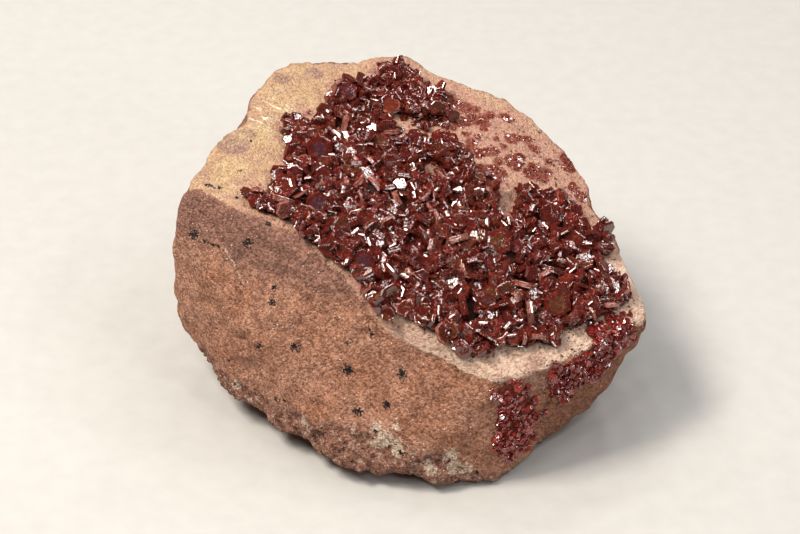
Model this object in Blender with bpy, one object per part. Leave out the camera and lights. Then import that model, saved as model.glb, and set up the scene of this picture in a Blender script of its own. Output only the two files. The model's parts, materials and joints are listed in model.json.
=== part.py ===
"""Vanadinite on matrix: a block of sandstone whose sloping top carries a crust of red hexagonal plates.

The block is the hull of named corners, rounded and roughened. +Z is up, +Y is away from the front face.
The origin is the middle of the object's box, on the surface that the block rests on.
"""

import math

import bmesh
import bpy
import numpy as np
from mathutils import Matrix, Vector

MM = 0.001  # every size below is in millimetres and is turned to metres once, when a mesh is made

# ---- driving dimensions of the block ---------------------------------------------------------------
# Places are measured from the middle of the bed's sharp edges. CENTRE is the middle of the finished
# object's box in that frame, and everything is moved so that it comes to the origin.
CENTRE = (1.02, -1.26, 0.0)
HEART = (0.0, -1.0, 17.0)  # the point inside the block that every surface point is measured from
EDGE_SHARPNESS = 60  # power of the norm that rounds the block's edges: higher is sharper
ROUNDING_LOSS = 1.012  # what the rounding takes off the flats, given back
FACET_MERGE_DEG = 7  # hull faces that meet at less than this are one facet
STONE_DETAIL = 5  # subdivisions of the sphere that becomes the block
STONE_SHARE = 0.5  # share of its triangles that are kept
GROUND_SHARE = 0.4  # and of those again under the large plates, which hide the ground
RAYS = 24000  # from HEART, that find where the plates can stand

# The rim of the crystal bed, from the left corner round the front, the right and the back.
BED_RIM = [
    (-30.6, -5.6, 34.0),
    (-23.0, -10.5, 33.0),
    (-16.0, -13.0, 31.0),
    (-9.0, -17.0, 28.0),
    (-3.6, -22.0, 23.5),
    (6.0, -28.0, 20.5),
    (13.5, -31.0, 18.5),
    (21.5, -27.6, 18.5),
    (28.5, -22.8, 19.0),
    (34.8, -16.0, 18.5),
    (34.5, -12.0, 20.0),
    (32.4, -5.0, 22.3),
    (29.5, 3.0, 25.5),
    (28.0, 9.0, 27.0),
    (22.5, 17.0, 30.0),
    (15.5, 23.5, 32.0),
    (6.5, 27.0, 33.0),
    (0.0, 30.5, 35.0),
    (-10.0, 27.0, 36.0),
    (-16.5, 26.5, 36.5),
    (-20.5, 20.5, 36.3),
    (-24.2, 11.5, 35.8),
    (-28.0, 2.0, 34.8),
]
# The widest ring round the block, between the bed and the foot.
GIRTH = [
    (-33.0, -6.5, 30.0),
    (-33.0, -6.0, 20.0),
    (-34.3, -5.5, 10.5),
    (-31.5, 6.0, 20.0),
    (-26.0, 20.0, 22.0),
    (-12.0, 29.0, 20.0),
    (4.0, 31.0, 20.0),
    (17.0, 26.0, 18.0),
    (28.0, 14.0, 16.0),
    (33.0, 1.0, 15.0),
    (34.9, -15.0, 13.0),
]
# The lower edge of the broken sides, just above the surface that the block rests on.
FOOT = [
    (-29.5, -10.0, 8.0),
    (-26.0, -17.0, 4.5),
    (-19.0, -23.0, 3.5),
    (-13.5, -27.5, 3.5),
    (-8.5, -32.0, 3.0),
    (0.0, -34.0, 3.0),
    (8.0, -33.4, 2.0),
    (14.6, -31.5, 1.0),
    (21.0, -23.5, 3.5),
    (31.0, -17.5, 6.5),
    (30.0, -2.0, 6.0),
    (24.0, 14.0, 5.0),
    (8.0, 26.0, 5.0),
    (-10.0, 26.0, 5.0),
    (-24.0, 14.0, 6.0),
]
# The outline of the underside, which is cut off flat at z = 0.
BASE = [
    (-24.0, -6.0, -1.0),
    (-12.0, -20.0, -1.0),
    (4.0, -29.0, -1.0),
    (13.0, -28.5, -1.0),
    (24.0, -16.0, -1.0),
    (25.0, 4.0, -1.0),
    (8.0, 21.0, -1.0),
    (-12.0, 20.0, -1.0),
]
# Local forms on the hull: where, how wide and how far out (or in, below 0).
LOCAL_FORMS = {
    "notch_left_rim": ((-25.0, 12.0, 35.5), 3.5, -1.6),
    "knob_left_back": ((-19.0, 24.0, 36.0), 4.0, 0.8),
    "dip_back_rim": ((-9.0, 28.0, 35.0), 3.5, -0.8),
    "knob_back": ((0.5, 30.5, 34.5), 4.0, 1.0),
    "dip_right_rim": ((29.5, 3.0, 24.5), 3.0, -0.9),
    "knob_right": ((36.0, -15.0, 18.0), 5.0, 0.9),
    "hollow_front_left_foot": ((-29.0, -11.0, 7.0), 4.0, -1.2),
    "band_before_crystals": ((17.0, -28.5, 20.0), 4.5, 0.7),
}

# ---- driving dimensions of the crystals ------------------------------------------------------------
CLEARANCE = 0.3  # between a crust and the block under it
# For the main crust: height over the block of the red ground that the plates stand on, distance between
# the middles of neighbouring plates, and their smallest and largest diameter across the corners.
LARGE = (0.9, 3.5, (2.6, 4.6))
SMALL = (0.6, 1.7, (1.2, 2.4))  # the same on the sides and in the small clusters
PLATE_THICKNESS = (0.26, 0.42)  # as a share of the diameter
PLATE_TILT = (20.0, 85.0)  # degrees between a plate's axis and the block's normal
PLATE_PROUD = (0.1, 0.45)  # how far its middle is over the red ground, as a share of its half height

FROM_ABOVE = (0, 1)  # the two axes of an outline that is seen from above
FROM_FRONT = (0, 2)  # and of one on a side that faces the front
SLAB_START = {FROM_ABOVE: 16.0, FROM_FRONT: 12.0}  # where an outline's slab starts, up or to the front
SLAB_DEPTH = 40.0  # and how deep it is, which takes it past the block

# The largest plates of the main crust: middle seen from above, diameter, thickness, way the face points.
LARGE_PLATES = {
    "purple_face": ((-11.7, 4.5), 4.4, 1.3, (-0.15, -0.85, 0.5)),
    "left_end": ((-17.6, -5.6), 4.8, 1.2, (-0.1, -0.5, 0.85)),
    "left_dark": ((-12.4, -7.8), 3.6, 1.1, (0.25, -0.8, 0.55)),
    "front_rim_face": ((-5.2, -16.5), 3.4, 1.1, (-0.2, -0.85, 0.5)),
    "brown_plate": ((14.3, -8.7), 4.6, 1.2, (0.05, -0.6, 0.8)),
    "small_brown": ((12.8, -18.7), 3.2, 1.0, (0.0, -0.6, 0.8)),
    "tall_plate": ((22.3, -2.2), 4.4, 1.2, (0.2, -0.85, 0.5)),
    "right_brown": ((22.3, -18.2), 4.4, 1.3, (0.1, -0.7, 0.7)),
    "right_edge": ((27.0, -9.8), 3.2, 1.0, (-0.2, -0.7, 0.7)),
    "back_dark": ((-8.5, 19.0), 3.6, 1.1, (0.1, -0.7, 0.7)),
    "back_upright": ((-8.4, 10.7), 3.0, 0.9, (-1.0, 0.1, 0.15)),
    "middle_upright": ((-0.6, -3.6), 3.2, 0.9, (0.9, 0.25, 0.35)),
    "middle_slanting": ((-4.0, -1.4), 3.0, 0.9, (0.8, 0.35, 0.5)),
    "left_flat": ((-17.2, -8.2), 4.0, 0.9, (0.3, 0.55, 0.8)),
    "middle_flat": ((8.2, -9.6), 3.8, 1.0, (-0.25, 0.55, 0.8)),
    "front_flat": ((-1.3, -14.1), 3.2, 0.9, (-0.3, 0.55, 0.8)),
    "right_upright": ((18.2, -20.6), 4.0, 1.0, (1.0, 0.05, 0.1)),
    "right_flat": ((18.0, -15.8), 3.6, 0.9, (0.25, 0.55, 0.8)),
    "front_upright": ((8.8, -21.0), 4.6, 1.1, (1.0, 0.1, 0.15)),
    "grey_upright": ((17.3, -11.0), 3.0, 1.1, (-0.9, 0.25, 0.35)),
    "right_ledge": ((22.0, -12.2), 3.4, 0.9, (0.3, 0.55, 0.8)),
}
# Outline of the main crust, seen from above.
MAIN_OUTLINE = [
    (-2.5, 26.0), (0.0, 27.0), (2.0, 26.0), (4.0, 23.5), (6.5, 21.5), (8.0, 18.5), (9.0, 15.5),
    (7.5, 12.5), (8.0, 9.0), (10.5, 8.0), (12.0, 4.5), (14.5, 3.0), (16.0, 0.5), (16.0, -2.0),
    (18.0, 0.5), (19.0, 3.5), (22.0, 3.5), (24.5, 2.0), (26.5, 1.0), (29.0, -2.0), (31.0, -4.0),
    (29.5, -7.5), (28.5, -9.5), (31.0, -12.0), (31.5, -14.0), (28.5, -16.0), (26.5, -18.0), (23.0, -20.5),
    (22.0, -24.0), (18.5, -24.0), (16.0, -25.0), (12.0, -26.5), (8.5, -26.0), (4.5, -24.0), (0.5, -22.0),
    (-3.0, -20.5), (-5.0, -18.5), (-7.0, -16.0), (-9.5, -14.5), (-12.5, -12.5), (-15.5, -9.8), (-21.5, -7.0),
    (-20.0, -6.0), (-18.0, -0.5), (-16.5, 1.5), (-16.0, 5.5), (-17.0, 11.5), (-12.5, 13.5), (-10.0, 15.5),
    (-11.0, 18.0), (-9.5, 22.5), (-5.5, 23.5), (-3.0, 24.5),
]  # fmt: skip
# Outlines of the crusts on the upright sides, seen from the front: distance to the right, then height.
CORNER_OUTLINE = [
    (13.9, 17.0), (16.1, 17.0), (17.2, 15.2), (18.4, 14.0), (19.3, 11.4), (19.8, 9.6), (19.5, 8.3),
    (19.0, 5.6), (17.2, 4.0), (14.9, 4.6), (13.8, 6.0), (14.7, 7.2), (14.0, 9.3), (13.7, 11.0),
    (14.6, 12.2), (14.3, 14.0), (13.5, 15.4),
]  # fmt: skip
WALL_OUTLINE = [
    (28.5, 18.7), (30.0, 19.0), (32.2, 18.0), (33.0, 16.1), (32.5, 13.6), (31.0, 12.0), (28.1, 11.6),
    (26.1, 11.0), (23.1, 12.4), (21.7, 14.1), (21.9, 17.6), (24.0, 17.3), (26.0, 17.3), (27.4, 17.8),
]  # fmt: skip
# Small clusters on the bare part of the bed: middle seen from above, and reach.
BACK_CLUSTERS = [
    ((11.0, 19.0), 2.2),
    ((17.0, 18.4), 1.2),
    ((20.5, 13.8), 1.7),
    ((13.2, 11.2), 1.8),
    ((18.2, 10.2), 1.3),
    ((15.2, 7.0), 1.3),
    ((21.8, 7.3), 1.2),
    ((25.5, 10.6), 1.1),
    ((26.8, 6.0), 1.1),
]


def facets_of(corners):
    """Outward normals (N, 3) of the flat facets of the corners' hull, and their distances (N,) from HEART."""
    hull = bmesh.new()
    for corner in corners:
        hull.verts.new(corner)
    bmesh.ops.convex_hull(hull, input=hull.verts)
    bmesh.ops.dissolve_limit(
        hull, angle_limit=math.radians(FACET_MERGE_DEG), verts=hull.verts, edges=hull.edges
    )
    hull.normal_update()
    normals = np.array([face.normal for face in hull.faces])
    middles = np.array([face.calc_center_median() for face in hull.faces])
    hull.free()
    return normals, ((middles - HEART) * normals).sum(axis=1)


def lattice_noise(points, cell, seed):
    """Smooth random field from -1 to 1: a random value at each lattice corner, blended by smoothstep."""
    scaled = np.asarray(points) / cell
    low = np.floor(scaled).astype(np.int64)
    part = scaled - low
    blend = part * part * (3 - 2 * part)
    total = np.zeros(len(scaled))
    for corner in np.ndindex(2, 2, 2):
        x, y, z = (low + corner).T
        mixed = (x * 73856093) ^ (y * 19349663) ^ (z * 83492791) ^ (seed * 2654435761)
        mixed = (mixed ^ (mixed >> 13)) * 1274126177 & 0x7FFFFFFF
        value = ((mixed ^ (mixed >> 16)) & 0xFFFF) / 32767.5 - 1
        weight = np.where(corner, blend, 1 - blend).prod(axis=1)
        total += value * weight
    return total


def block_surface(directions, facets):
    """Points where rays from HEART leave the block: 1/r is the p-norm of (n.d)/h over its facets."""
    normals, distances = facets
    slopes = np.clip(directions @ normals.T / distances, 0, None)
    radius = ROUNDING_LOSS / (slopes**EDGE_SHARPNESS).sum(axis=1) ** (1 / EDGE_SHARPNESS)
    smooth = HEART + directions * radius[:, None]
    lumps = 0.55 * lattice_noise(smooth, 9.0, 3) + 0.35 * lattice_noise(smooth, 4.5, 7)
    for place, width, height in LOCAL_FORMS.values():
        lumps += height * np.exp(-(((smooth - place) / width) ** 2).sum(axis=1))
    return smooth + directions * lumps[:, None]


def unit(vectors):
    return vectors / np.linalg.norm(vectors, axis=-1, keepdims=True)


def surface_normals(directions, facets):
    """Outward normals of the block, from points a small step apart along two tangents of each ray."""
    step = 0.02
    side = unit(np.cross(directions, (0.31, 0.47, 0.83)))
    other = np.cross(directions, side)
    here = block_surface(directions, facets)
    along = block_surface(unit(directions + step * side), facets) - here
    across = block_surface(unit(directions + step * other), facets) - here
    return unit(np.cross(along, across))


def inside(points, outline):
    """Which 2D points lie inside the outline, by the even-odd rule."""
    odd = np.zeros(len(points), bool)
    for (ax, ay), (bx, by) in zip(outline, outline[1:] + outline[:1]):
        if ay == by:
            continue
        crosses = (ay > points[:, 1]) != (by > points[:, 1])
        odd ^= crosses & (points[:, 0] < (bx - ax) * (points[:, 1] - ay) / (by - ay) + ax)
    return odd


def tangents(vectors):
    """Two unit vectors across each unit vector, and across each other."""
    side = unit(np.cross(vectors, (0.31, 0.47, 0.83)))
    return side, np.cross(vectors, side)


def scatter(facets, outline, axes, spacing, rng, named):
    """Points of the block inside an outline, at least spacing apart, and the block's normals there.

    The first ones are the named plates' places. The rays that find the block's points are spread evenly
    by the golden angle.
    """
    turn = np.arange(RAYS) * math.pi * (3 - math.sqrt(5))
    height = 1 - (np.arange(RAYS) + 0.5) * 2 / RAYS
    ring = np.sqrt(1 - height**2)
    directions = np.column_stack([ring * np.cos(turn), ring * np.sin(turn), height])
    points = block_surface(directions, facets)
    facing = points[:, 2] if axes == FROM_ABOVE else -points[:, 1]
    chosen = inside(points[:, list(axes)], outline) & (facing > SLAB_START[axes])
    points, directions = points[chosen], directions[chosen]
    kept = [int(np.linalg.norm(points[:, list(axes)] - place, axis=1).argmin()) for place, *_ in named]
    for candidate in rng.permutation(len(points)):
        gaps = np.linalg.norm(points[kept] - points[candidate], axis=1)
        if gaps.min(initial=math.inf) > spacing:
            kept.append(candidate)
    return points[kept], surface_normals(directions[kept], facets)


def plates(points, normals, ground, diameter, rng, named):
    """Middles, frames, radii and thicknesses of the hexagonal plates that grow at the points.

    A frame's columns are two ways across the plate and its axis.
    """
    count = len(points)
    radius = rng.uniform(*diameter, count) / 2
    thickness = 2 * radius * rng.uniform(*PLATE_THICKNESS, count)
    tilt = np.radians(rng.uniform(*PLATE_TILT, count))[:, None]
    heading, roll = rng.uniform(0, 2 * math.pi, (2, count, 1))
    proud = rng.uniform(*PLATE_PROUD, count)
    level, slope = tangents(normals)
    axes = np.cos(tilt) * normals + np.sin(tilt) * (np.cos(heading) * level + np.sin(heading) * slope)
    for place, (_, width, depth, axis) in enumerate(named):
        radius[place], thickness[place], axes[place] = width / 2, depth, unit(np.array(axis))
    upright = (axes * normals).sum(axis=1)
    half_height = radius * np.sqrt(1 - upright**2) + thickness / 2 * abs(upright)
    middles = points + normals * (ground + proud * half_height)[:, None]
    side, other = tangents(axes)
    across = np.cos(roll) * side + np.sin(roll) * other
    return middles, np.stack([across, np.cross(axes, across), axes], axis=2), radius, thickness


def clear_scene():
    for old in list(bpy.data.objects):
        bpy.data.objects.remove(old)


def material(name, colour, roughness, metallic=0.0):
    made = bpy.data.materials.new(name)
    made.use_nodes = True
    shader = made.node_tree.nodes["Principled BSDF"]
    shader.inputs["Base Color"].default_value = (*colour, 1)
    shader.inputs["Roughness"].default_value = roughness
    shader.inputs["Metallic"].default_value = metallic
    return made


def new_object(name, mesh, collection, look=None):
    made = bpy.data.objects.new(name, mesh)
    collection.objects.link(made)
    if look:
        mesh.materials.append(look)
    else:
        made.hide_render = True
        made.display_type = "WIRE"
    return made


def evaluated_mesh(name, source):
    """The mesh of an object as the viewport shows it, with its modifiers applied and its caps welded."""
    bpy.context.view_layer.update()
    depsgraph = bpy.context.evaluated_depsgraph_get()
    mesh = bpy.data.meshes.new_from_object(source.evaluated_get(depsgraph))
    mesh.name = name
    welded = bmesh.new()
    welded.from_mesh(mesh)
    bmesh.ops.remove_doubles(welded, verts=welded.verts, dist=1e-6)
    welded.to_mesh(mesh)
    welded.free()
    return mesh


def boolean(target, operand, operation, self_crossing=False):
    step = target.modifiers.new(operation.lower(), "BOOLEAN")
    step.object = operand
    step.operation = operation
    step.solver = "EXACT"
    step.use_self = self_crossing


def whole_stone(facets, guides):
    """The block as a closed object, before its base is cut, with only the triangles that its form needs."""
    ball = bmesh.new()
    bmesh.ops.create_icosphere(ball, subdivisions=STONE_DETAIL, radius=1)
    directions = unit(np.array([vert.co for vert in ball.verts]))
    for vert, point in zip(ball.verts, block_surface(directions, facets) * MM):
        vert.co = point
    mesh = bpy.data.meshes.new("whole_stone")
    ball.to_mesh(mesh)
    ball.free()
    stone = new_object("whole_stone", mesh, guides)
    thinned = stone.modifiers.new("thin", "DECIMATE")
    thinned.ratio = STONE_SHARE
    return stone


def based_stone(whole):
    """The block, cut off flat at z = 0, where it rests."""
    stone = bmesh.new()
    stone.from_mesh(whole)
    everything = [*stone.verts, *stone.edges, *stone.faces]
    cut = bmesh.ops.bisect_plane(
        stone, geom=everything, plane_co=(0, 0, 0), plane_no=(0, 0, 1), clear_inner=True
    )
    rim = [piece for piece in cut["geom_cut"] if isinstance(piece, bmesh.types.BMEdge)]
    bmesh.ops.contextual_create(stone, geom=rim)
    mesh = bpy.data.meshes.new("matrix")
    stone.to_mesh(mesh)
    stone.free()
    return mesh


def grown_stone(name, whole, distance, guides, share=1.0):
    """The block grown outwards by a distance: a guide that crusts are cut with."""
    grown = new_object(name, whole.copy(), guides)
    thinned = grown.modifiers.new("thin", "DECIMATE")
    thinned.ratio = share
    outwards = grown.modifiers.new("outwards", "DISPLACE")
    outwards.mid_level = 0
    outwards.strength = distance * MM
    return grown


def outline_slab(name, outline, axes, guides):
    """A closed slab with an outline, standing on end for a crust seen from above, or facing the front."""
    flat = bpy.data.curves.new(name, "CURVE")
    flat.dimensions = "2D"
    flat.fill_mode = "BOTH"
    flat.extrude = SLAB_DEPTH / 2 * MM
    line = flat.splines.new("POLY")
    line.points.add(len(outline) - 1)
    for point, (across, up) in zip(line.points, outline):
        point.co = (across * MM, up * MM, 0, 1)
    line.use_cyclic_u = True
    curve = bpy.data.objects.new(name + "_outline", flat)
    guides.objects.link(curve)
    mesh = evaluated_mesh(name, curve)
    bpy.data.objects.remove(curve)
    mesh.transform(Matrix.Translation((0, 0, (SLAB_START[axes] + SLAB_DEPTH / 2) * MM)))
    if axes == FROM_FRONT:
        mesh.transform(Matrix.Rotation(math.pi / 2, 4, "X"))
    return mesh


def crust(name, outline, axes, sizes, block, collections, look, named=()):
    """Hexagonal plates grown together on a thin ground that follows the block inside an outline."""
    facets, grounds, clearance = block
    parts, guides = collections
    ground, spacing, diameter = sizes
    rng = np.random.default_rng(sum(name.encode()))
    points, normals = scatter(facets, outline, axes, spacing, rng, named)
    druse = bmesh.new()
    for middle, frame, radius, thickness in zip(*plates(points, normals, ground, diameter, rng, named)):
        place = Matrix.Translation(middle * MM) @ Matrix(frame).to_4x4()
        bmesh.ops.create_cone(
            druse, cap_ends=True, segments=6, radius1=radius * MM, radius2=radius * MM,
            depth=thickness * MM, matrix=place,
        )  # fmt: skip
    mesh = bpy.data.meshes.new(name + "_plates")
    druse.to_mesh(mesh)
    druse.free()
    grown_together = new_object(name + "_plates", mesh, guides)
    made = new_object(name, outline_slab(name, outline, axes, guides), parts, look)
    boolean(made, grounds[ground], "INTERSECT")
    boolean(made, grown_together, "UNION", self_crossing=True)
    boolean(made, clearance, "DIFFERENCE")


def circle(middle, reach, sides=8):
    """Corners of a regular outline round a middle."""
    turns = [2 * math.pi * step / sides for step in range(sides)]
    return [(middle[0] + reach * math.cos(turn), middle[1] + reach * math.sin(turn)) for turn in turns]


def main():
    clear_scene()
    origin = bpy.data.objects.new("origin", None)
    origin.location = Vector(CENTRE) * -MM
    parts = bpy.data.collections.new("vanadinite_on_matrix")
    guides = bpy.data.collections.new("cutters")
    for collection in (parts, guides):
        bpy.context.scene.collection.children.link(collection)
    sandstone = material("sandstone", (0.37, 0.18, 0.11), 0.85)
    vanadinite = material("vanadinite", (0.12, 0.014, 0.01), 0.2)

    facets = facets_of(BED_RIM + GIRTH + FOOT + BASE)
    whole = evaluated_mesh("whole", whole_stone(facets, guides))
    new_object("matrix", based_stone(whole), parts, sandstone)
    grounds = {
        LARGE[0]: grown_stone("large_ground", whole, LARGE[0], guides, GROUND_SHARE),
        SMALL[0]: grown_stone("small_ground", whole, SMALL[0], guides),
    }
    clearance = grown_stone("clearance", whole, CLEARANCE, guides)
    shared = (facets, grounds, clearance), (parts, guides), vanadinite
    crust("crystal_crust", MAIN_OUTLINE, FROM_ABOVE, LARGE, *shared, named=LARGE_PLATES.values())
    crust("corner_crust", CORNER_OUTLINE, FROM_FRONT, SMALL, *shared)
    crust("wall_crust", WALL_OUTLINE, FROM_FRONT, SMALL, *shared)
    for number, (middle, reach) in enumerate(BACK_CLUSTERS, start=1):
        crust(f"back_cluster_{number}", circle(middle, reach), FROM_ABOVE, SMALL, *shared)
    for made in [*parts.objects, *guides.objects]:
        made.parent = origin
    parts.objects.link(origin)


main()
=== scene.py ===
# %% [markdown]
# # Vanadinite on matrix
#
# A mineral specimen the size of a palm. The matrix is a block of broken, fine-grained sandstone. Its sloping
# top is an old surface of the rock, coated with a cream-coloured mineral and grown over with a crust of red
# hexagonal plates of vanadinite, a lead chloride vanadate. Smaller crusts of it sit on two upright sides.
#
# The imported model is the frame: it says where every piece is. This script puts finer meshes in the places of
# its solids and gives them their finishes. Everything is in metres, +Z up, +Y away from the front face.

import json
import math

import bmesh
import bpy
import numpy as np
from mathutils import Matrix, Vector

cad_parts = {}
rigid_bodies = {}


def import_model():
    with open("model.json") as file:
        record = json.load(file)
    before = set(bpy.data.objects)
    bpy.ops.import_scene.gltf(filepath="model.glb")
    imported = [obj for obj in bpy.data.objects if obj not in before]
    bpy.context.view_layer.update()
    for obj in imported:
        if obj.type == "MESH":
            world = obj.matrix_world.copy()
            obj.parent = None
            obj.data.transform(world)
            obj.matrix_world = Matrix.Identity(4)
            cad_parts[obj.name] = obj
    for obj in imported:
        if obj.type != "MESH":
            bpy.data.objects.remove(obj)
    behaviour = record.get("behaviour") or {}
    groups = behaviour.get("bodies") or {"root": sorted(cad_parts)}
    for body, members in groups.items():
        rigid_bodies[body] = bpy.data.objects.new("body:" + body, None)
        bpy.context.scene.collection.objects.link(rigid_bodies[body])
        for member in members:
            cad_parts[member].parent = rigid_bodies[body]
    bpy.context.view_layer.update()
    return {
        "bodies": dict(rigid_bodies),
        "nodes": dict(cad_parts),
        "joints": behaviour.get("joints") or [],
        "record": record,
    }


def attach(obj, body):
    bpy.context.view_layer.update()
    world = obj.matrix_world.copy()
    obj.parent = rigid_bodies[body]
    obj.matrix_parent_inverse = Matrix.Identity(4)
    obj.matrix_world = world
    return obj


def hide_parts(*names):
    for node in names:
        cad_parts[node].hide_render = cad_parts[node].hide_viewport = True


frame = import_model()
print("solids:", ", ".join(sorted(frame["nodes"])))

# %% [markdown]
# ## One ruler
#
# The block is described in millimetres from the middle of its bed's sharp edges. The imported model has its
# origin at the middle of the object's box. So one small function moves points from the first to the second.

# %% Units
MM = 0.001
CENTRE = np.array((1.02, -1.26, 0.0))  # the middle of the object's box, in the block's own millimetres


def place(points):
    """Points of the block, in mm, as metres in the model's frame: less CENTRE, then times MM."""
    return (np.asarray(points) - CENTRE) * MM


print("the block's own origin lies at", place((0, 0, 0)), "m")

# %% [markdown]
# ## The block's corners
#
# A hammered block is a few flat facets that meet at sharp edges. It could be sculpted, or cut from a cube.
# The shortest true description is its corners: their hull gives the facets, and the facets give the rest.
# These are the corners that the solid was made from, so the finer stone lies on it.

# %% Corners and facets
HEART = np.array((0.0, -1.0, 17.0))  # the point inside that every surface point is measured from
FACET_MERGE_DEG = 7  # hull faces that meet at less than this are one facet
BED_RIM = [
    (-30.6, -5.6, 34.0), (-23.0, -10.5, 33.0), (-16.0, -13.0, 31.0), (-9.0, -17.0, 28.0),
    (-3.6, -22.0, 23.5), (6.0, -28.0, 20.5), (13.5, -31.0, 18.5), (21.5, -27.6, 18.5),
    (28.5, -22.8, 19.0), (34.8, -16.0, 18.5), (34.5, -12.0, 20.0), (32.4, -5.0, 22.3),
    (29.5, 3.0, 25.5), (28.0, 9.0, 27.0), (22.5, 17.0, 30.0), (15.5, 23.5, 32.0),
    (6.5, 27.0, 33.0), (0.0, 30.5, 35.0), (-10.0, 27.0, 36.0), (-16.5, 26.5, 36.5),
    (-20.5, 20.5, 36.3), (-24.2, 11.5, 35.8), (-28.0, 2.0, 34.8),
]  # fmt: skip
GIRTH = [
    (-33.0, -6.5, 30.0), (-33.0, -6.0, 20.0), (-34.3, -5.5, 10.5), (-31.5, 6.0, 20.0),
    (-26.0, 20.0, 22.0), (-12.0, 29.0, 20.0), (4.0, 31.0, 20.0), (17.0, 26.0, 18.0),
    (28.0, 14.0, 16.0), (33.0, 1.0, 15.0), (34.9, -15.0, 13.0),
]  # fmt: skip
FOOT = [
    (-29.5, -10.0, 8.0), (-26.0, -17.0, 4.5), (-19.0, -23.0, 3.5), (-13.5, -27.5, 3.5),
    (-8.5, -32.0, 3.0), (0.0, -34.0, 3.0), (8.0, -33.4, 2.0), (14.6, -31.5, 1.0),
    (21.0, -23.5, 3.5), (31.0, -17.5, 6.5), (30.0, -2.0, 6.0), (24.0, 14.0, 5.0),
    (8.0, 26.0, 5.0), (-10.0, 26.0, 5.0), (-24.0, 14.0, 6.0),
]  # fmt: skip
BASE = [
    (-24.0, -6.0, -1.0), (-12.0, -20.0, -1.0), (4.0, -29.0, -1.0), (13.0, -28.5, -1.0),
    (24.0, -16.0, -1.0), (25.0, 4.0, -1.0), (8.0, 21.0, -1.0), (-12.0, 20.0, -1.0),
]  # fmt: skip


def facets_of(corners):
    """Outward normals (N, 3) of the facets of the corners' hull, and their distances (N,) from HEART."""
    hull = bmesh.new()
    for corner in corners:
        hull.verts.new(corner)
    bmesh.ops.convex_hull(hull, input=hull.verts)
    bmesh.ops.dissolve_limit(
        hull, angle_limit=math.radians(FACET_MERGE_DEG), verts=hull.verts, edges=hull.edges
    )
    hull.normal_update()
    normals = np.array([face.normal for face in hull.faces])
    middles = np.array([face.calc_center_median() for face in hull.faces])
    hull.free()
    return normals, ((middles - HEART) * normals).sum(axis=1)


FACETS = facets_of(BED_RIM + GIRTH + FOOT + BASE)
print(len(FACETS[0]), "facets")

# %% [markdown]
# ## Roughness from random numbers
#
# Stone is lumpy at every size. A random value at each corner of a grid, blended smoothly in between, gives
# lumps of one size. A few such fields, each finer and lower than the last, together look like broken rock.


# %% Noise
def lattice_noise(points, cell, seed):
    """Smooth random field from -1 to 1: a random value at each lattice corner, blended by smoothstep."""
    scaled = np.asarray(points) / cell
    low = np.floor(scaled).astype(np.int64)
    part = scaled - low
    blend = part * part * (3 - 2 * part)
    total = np.zeros(len(scaled))
    for corner in np.ndindex(2, 2, 2):
        x, y, z = (low + corner).T
        mixed = (x * 73856093) ^ (y * 19349663) ^ (z * 83492791) ^ (seed * 2654435761)
        mixed = (mixed ^ (mixed >> 13)) * 1274126177 & 0x7FFFFFFF
        value = ((mixed ^ (mixed >> 16)) & 0xFFFF) / 32767.5 - 1
        weight = np.where(corner, blend, 1 - blend).prod(axis=1)
        total += value * weight
    return total


def rough(points, cell, seed, octaves=3):
    """Sum of octaves of noise, each of half the cell and half the height of the one before."""
    return sum(lattice_noise(points, cell / 2**n, seed + n) / 2**n for n in range(octaves))


def smoothstep(values, low, high):
    """0 below low, 1 above high, and 3t^2 - 2t^3 between them."""
    t = np.clip((np.asarray(values) - low) / (high - low), 0, 1)
    return t * t * (3 - 2 * t)


sample = np.random.default_rng(1).uniform(0, 50, (999, 3))
print("lumps of 2 mm reach", rough(sample, 2, 1).max().round(2), "of their height")

# %% [markdown]
# ## The block's surface
#
# A ray from inside the block leaves it through the facet that it meets first: 1/r is the largest (n.d)/h of
# all facets. The largest value can be softened into a p-norm, the p-th root of a sum of p-th powers, which
# rounds every edge by the same share. Then come the same lumps and dips that the solid has.

# %% The surface along a ray
EDGE_SHARPNESS = 60  # power of the solid's norm: higher is sharper
CRISP = 110  # and of the fine stone's, whose fresh edges have a radius of about half a millimetre
ROUNDING_LOSS = 1.012  # what the rounding takes off the flats, given back
BLOCK_LUMPS = [(0.55, 9.0, 3), (0.35, 4.5, 7)]  # height and cell in mm, and seed, of each field of lumps
# A hump above 0, or a dip below: its middle, width and height in mm.
LOCAL_FORMS = {
    "notch_left_rim": ((-25.0, 12.0, 35.5), 3.5, -1.6),
    "knob_left_back": ((-19.0, 24.0, 36.0), 4.0, 0.8),
    "dip_back_rim": ((-9.0, 28.0, 35.0), 3.5, -0.8),
    "knob_back": ((0.5, 30.5, 34.5), 4.0, 1.0),
    "dip_right_rim": ((29.5, 3.0, 24.5), 3.0, -0.9),
    "knob_right": ((36.0, -15.0, 18.0), 5.0, 0.9),
    "hollow_front_left_foot": ((-29.0, -11.0, 7.0), 4.0, -1.2),
    "band_before_crystals": ((17.0, -28.5, 20.0), 4.5, 0.7),
}


def block_surface(directions, power=EDGE_SHARPNESS):
    """Points where rays from HEART leave the block: 1/r is the p-norm of (n.d)/h over its facets."""
    normals, distances = FACETS
    slopes = np.clip(directions @ normals.T / distances, 0, None)
    radius = ROUNDING_LOSS / (slopes**power).sum(axis=1) ** (1 / power)
    smooth = HEART + directions * radius[:, None]
    lumps = sum(height * lattice_noise(smooth, cell, seed) for height, cell, seed in BLOCK_LUMPS)
    for where, width, height in LOCAL_FORMS.values():
        lumps += height * np.exp(-(((smooth - where) / width) ** 2).sum(axis=1))
    return smooth + directions * lumps[:, None]


def unit(vectors):
    """Each vector divided by its length."""
    return vectors / np.linalg.norm(vectors, axis=-1, keepdims=True)


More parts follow.
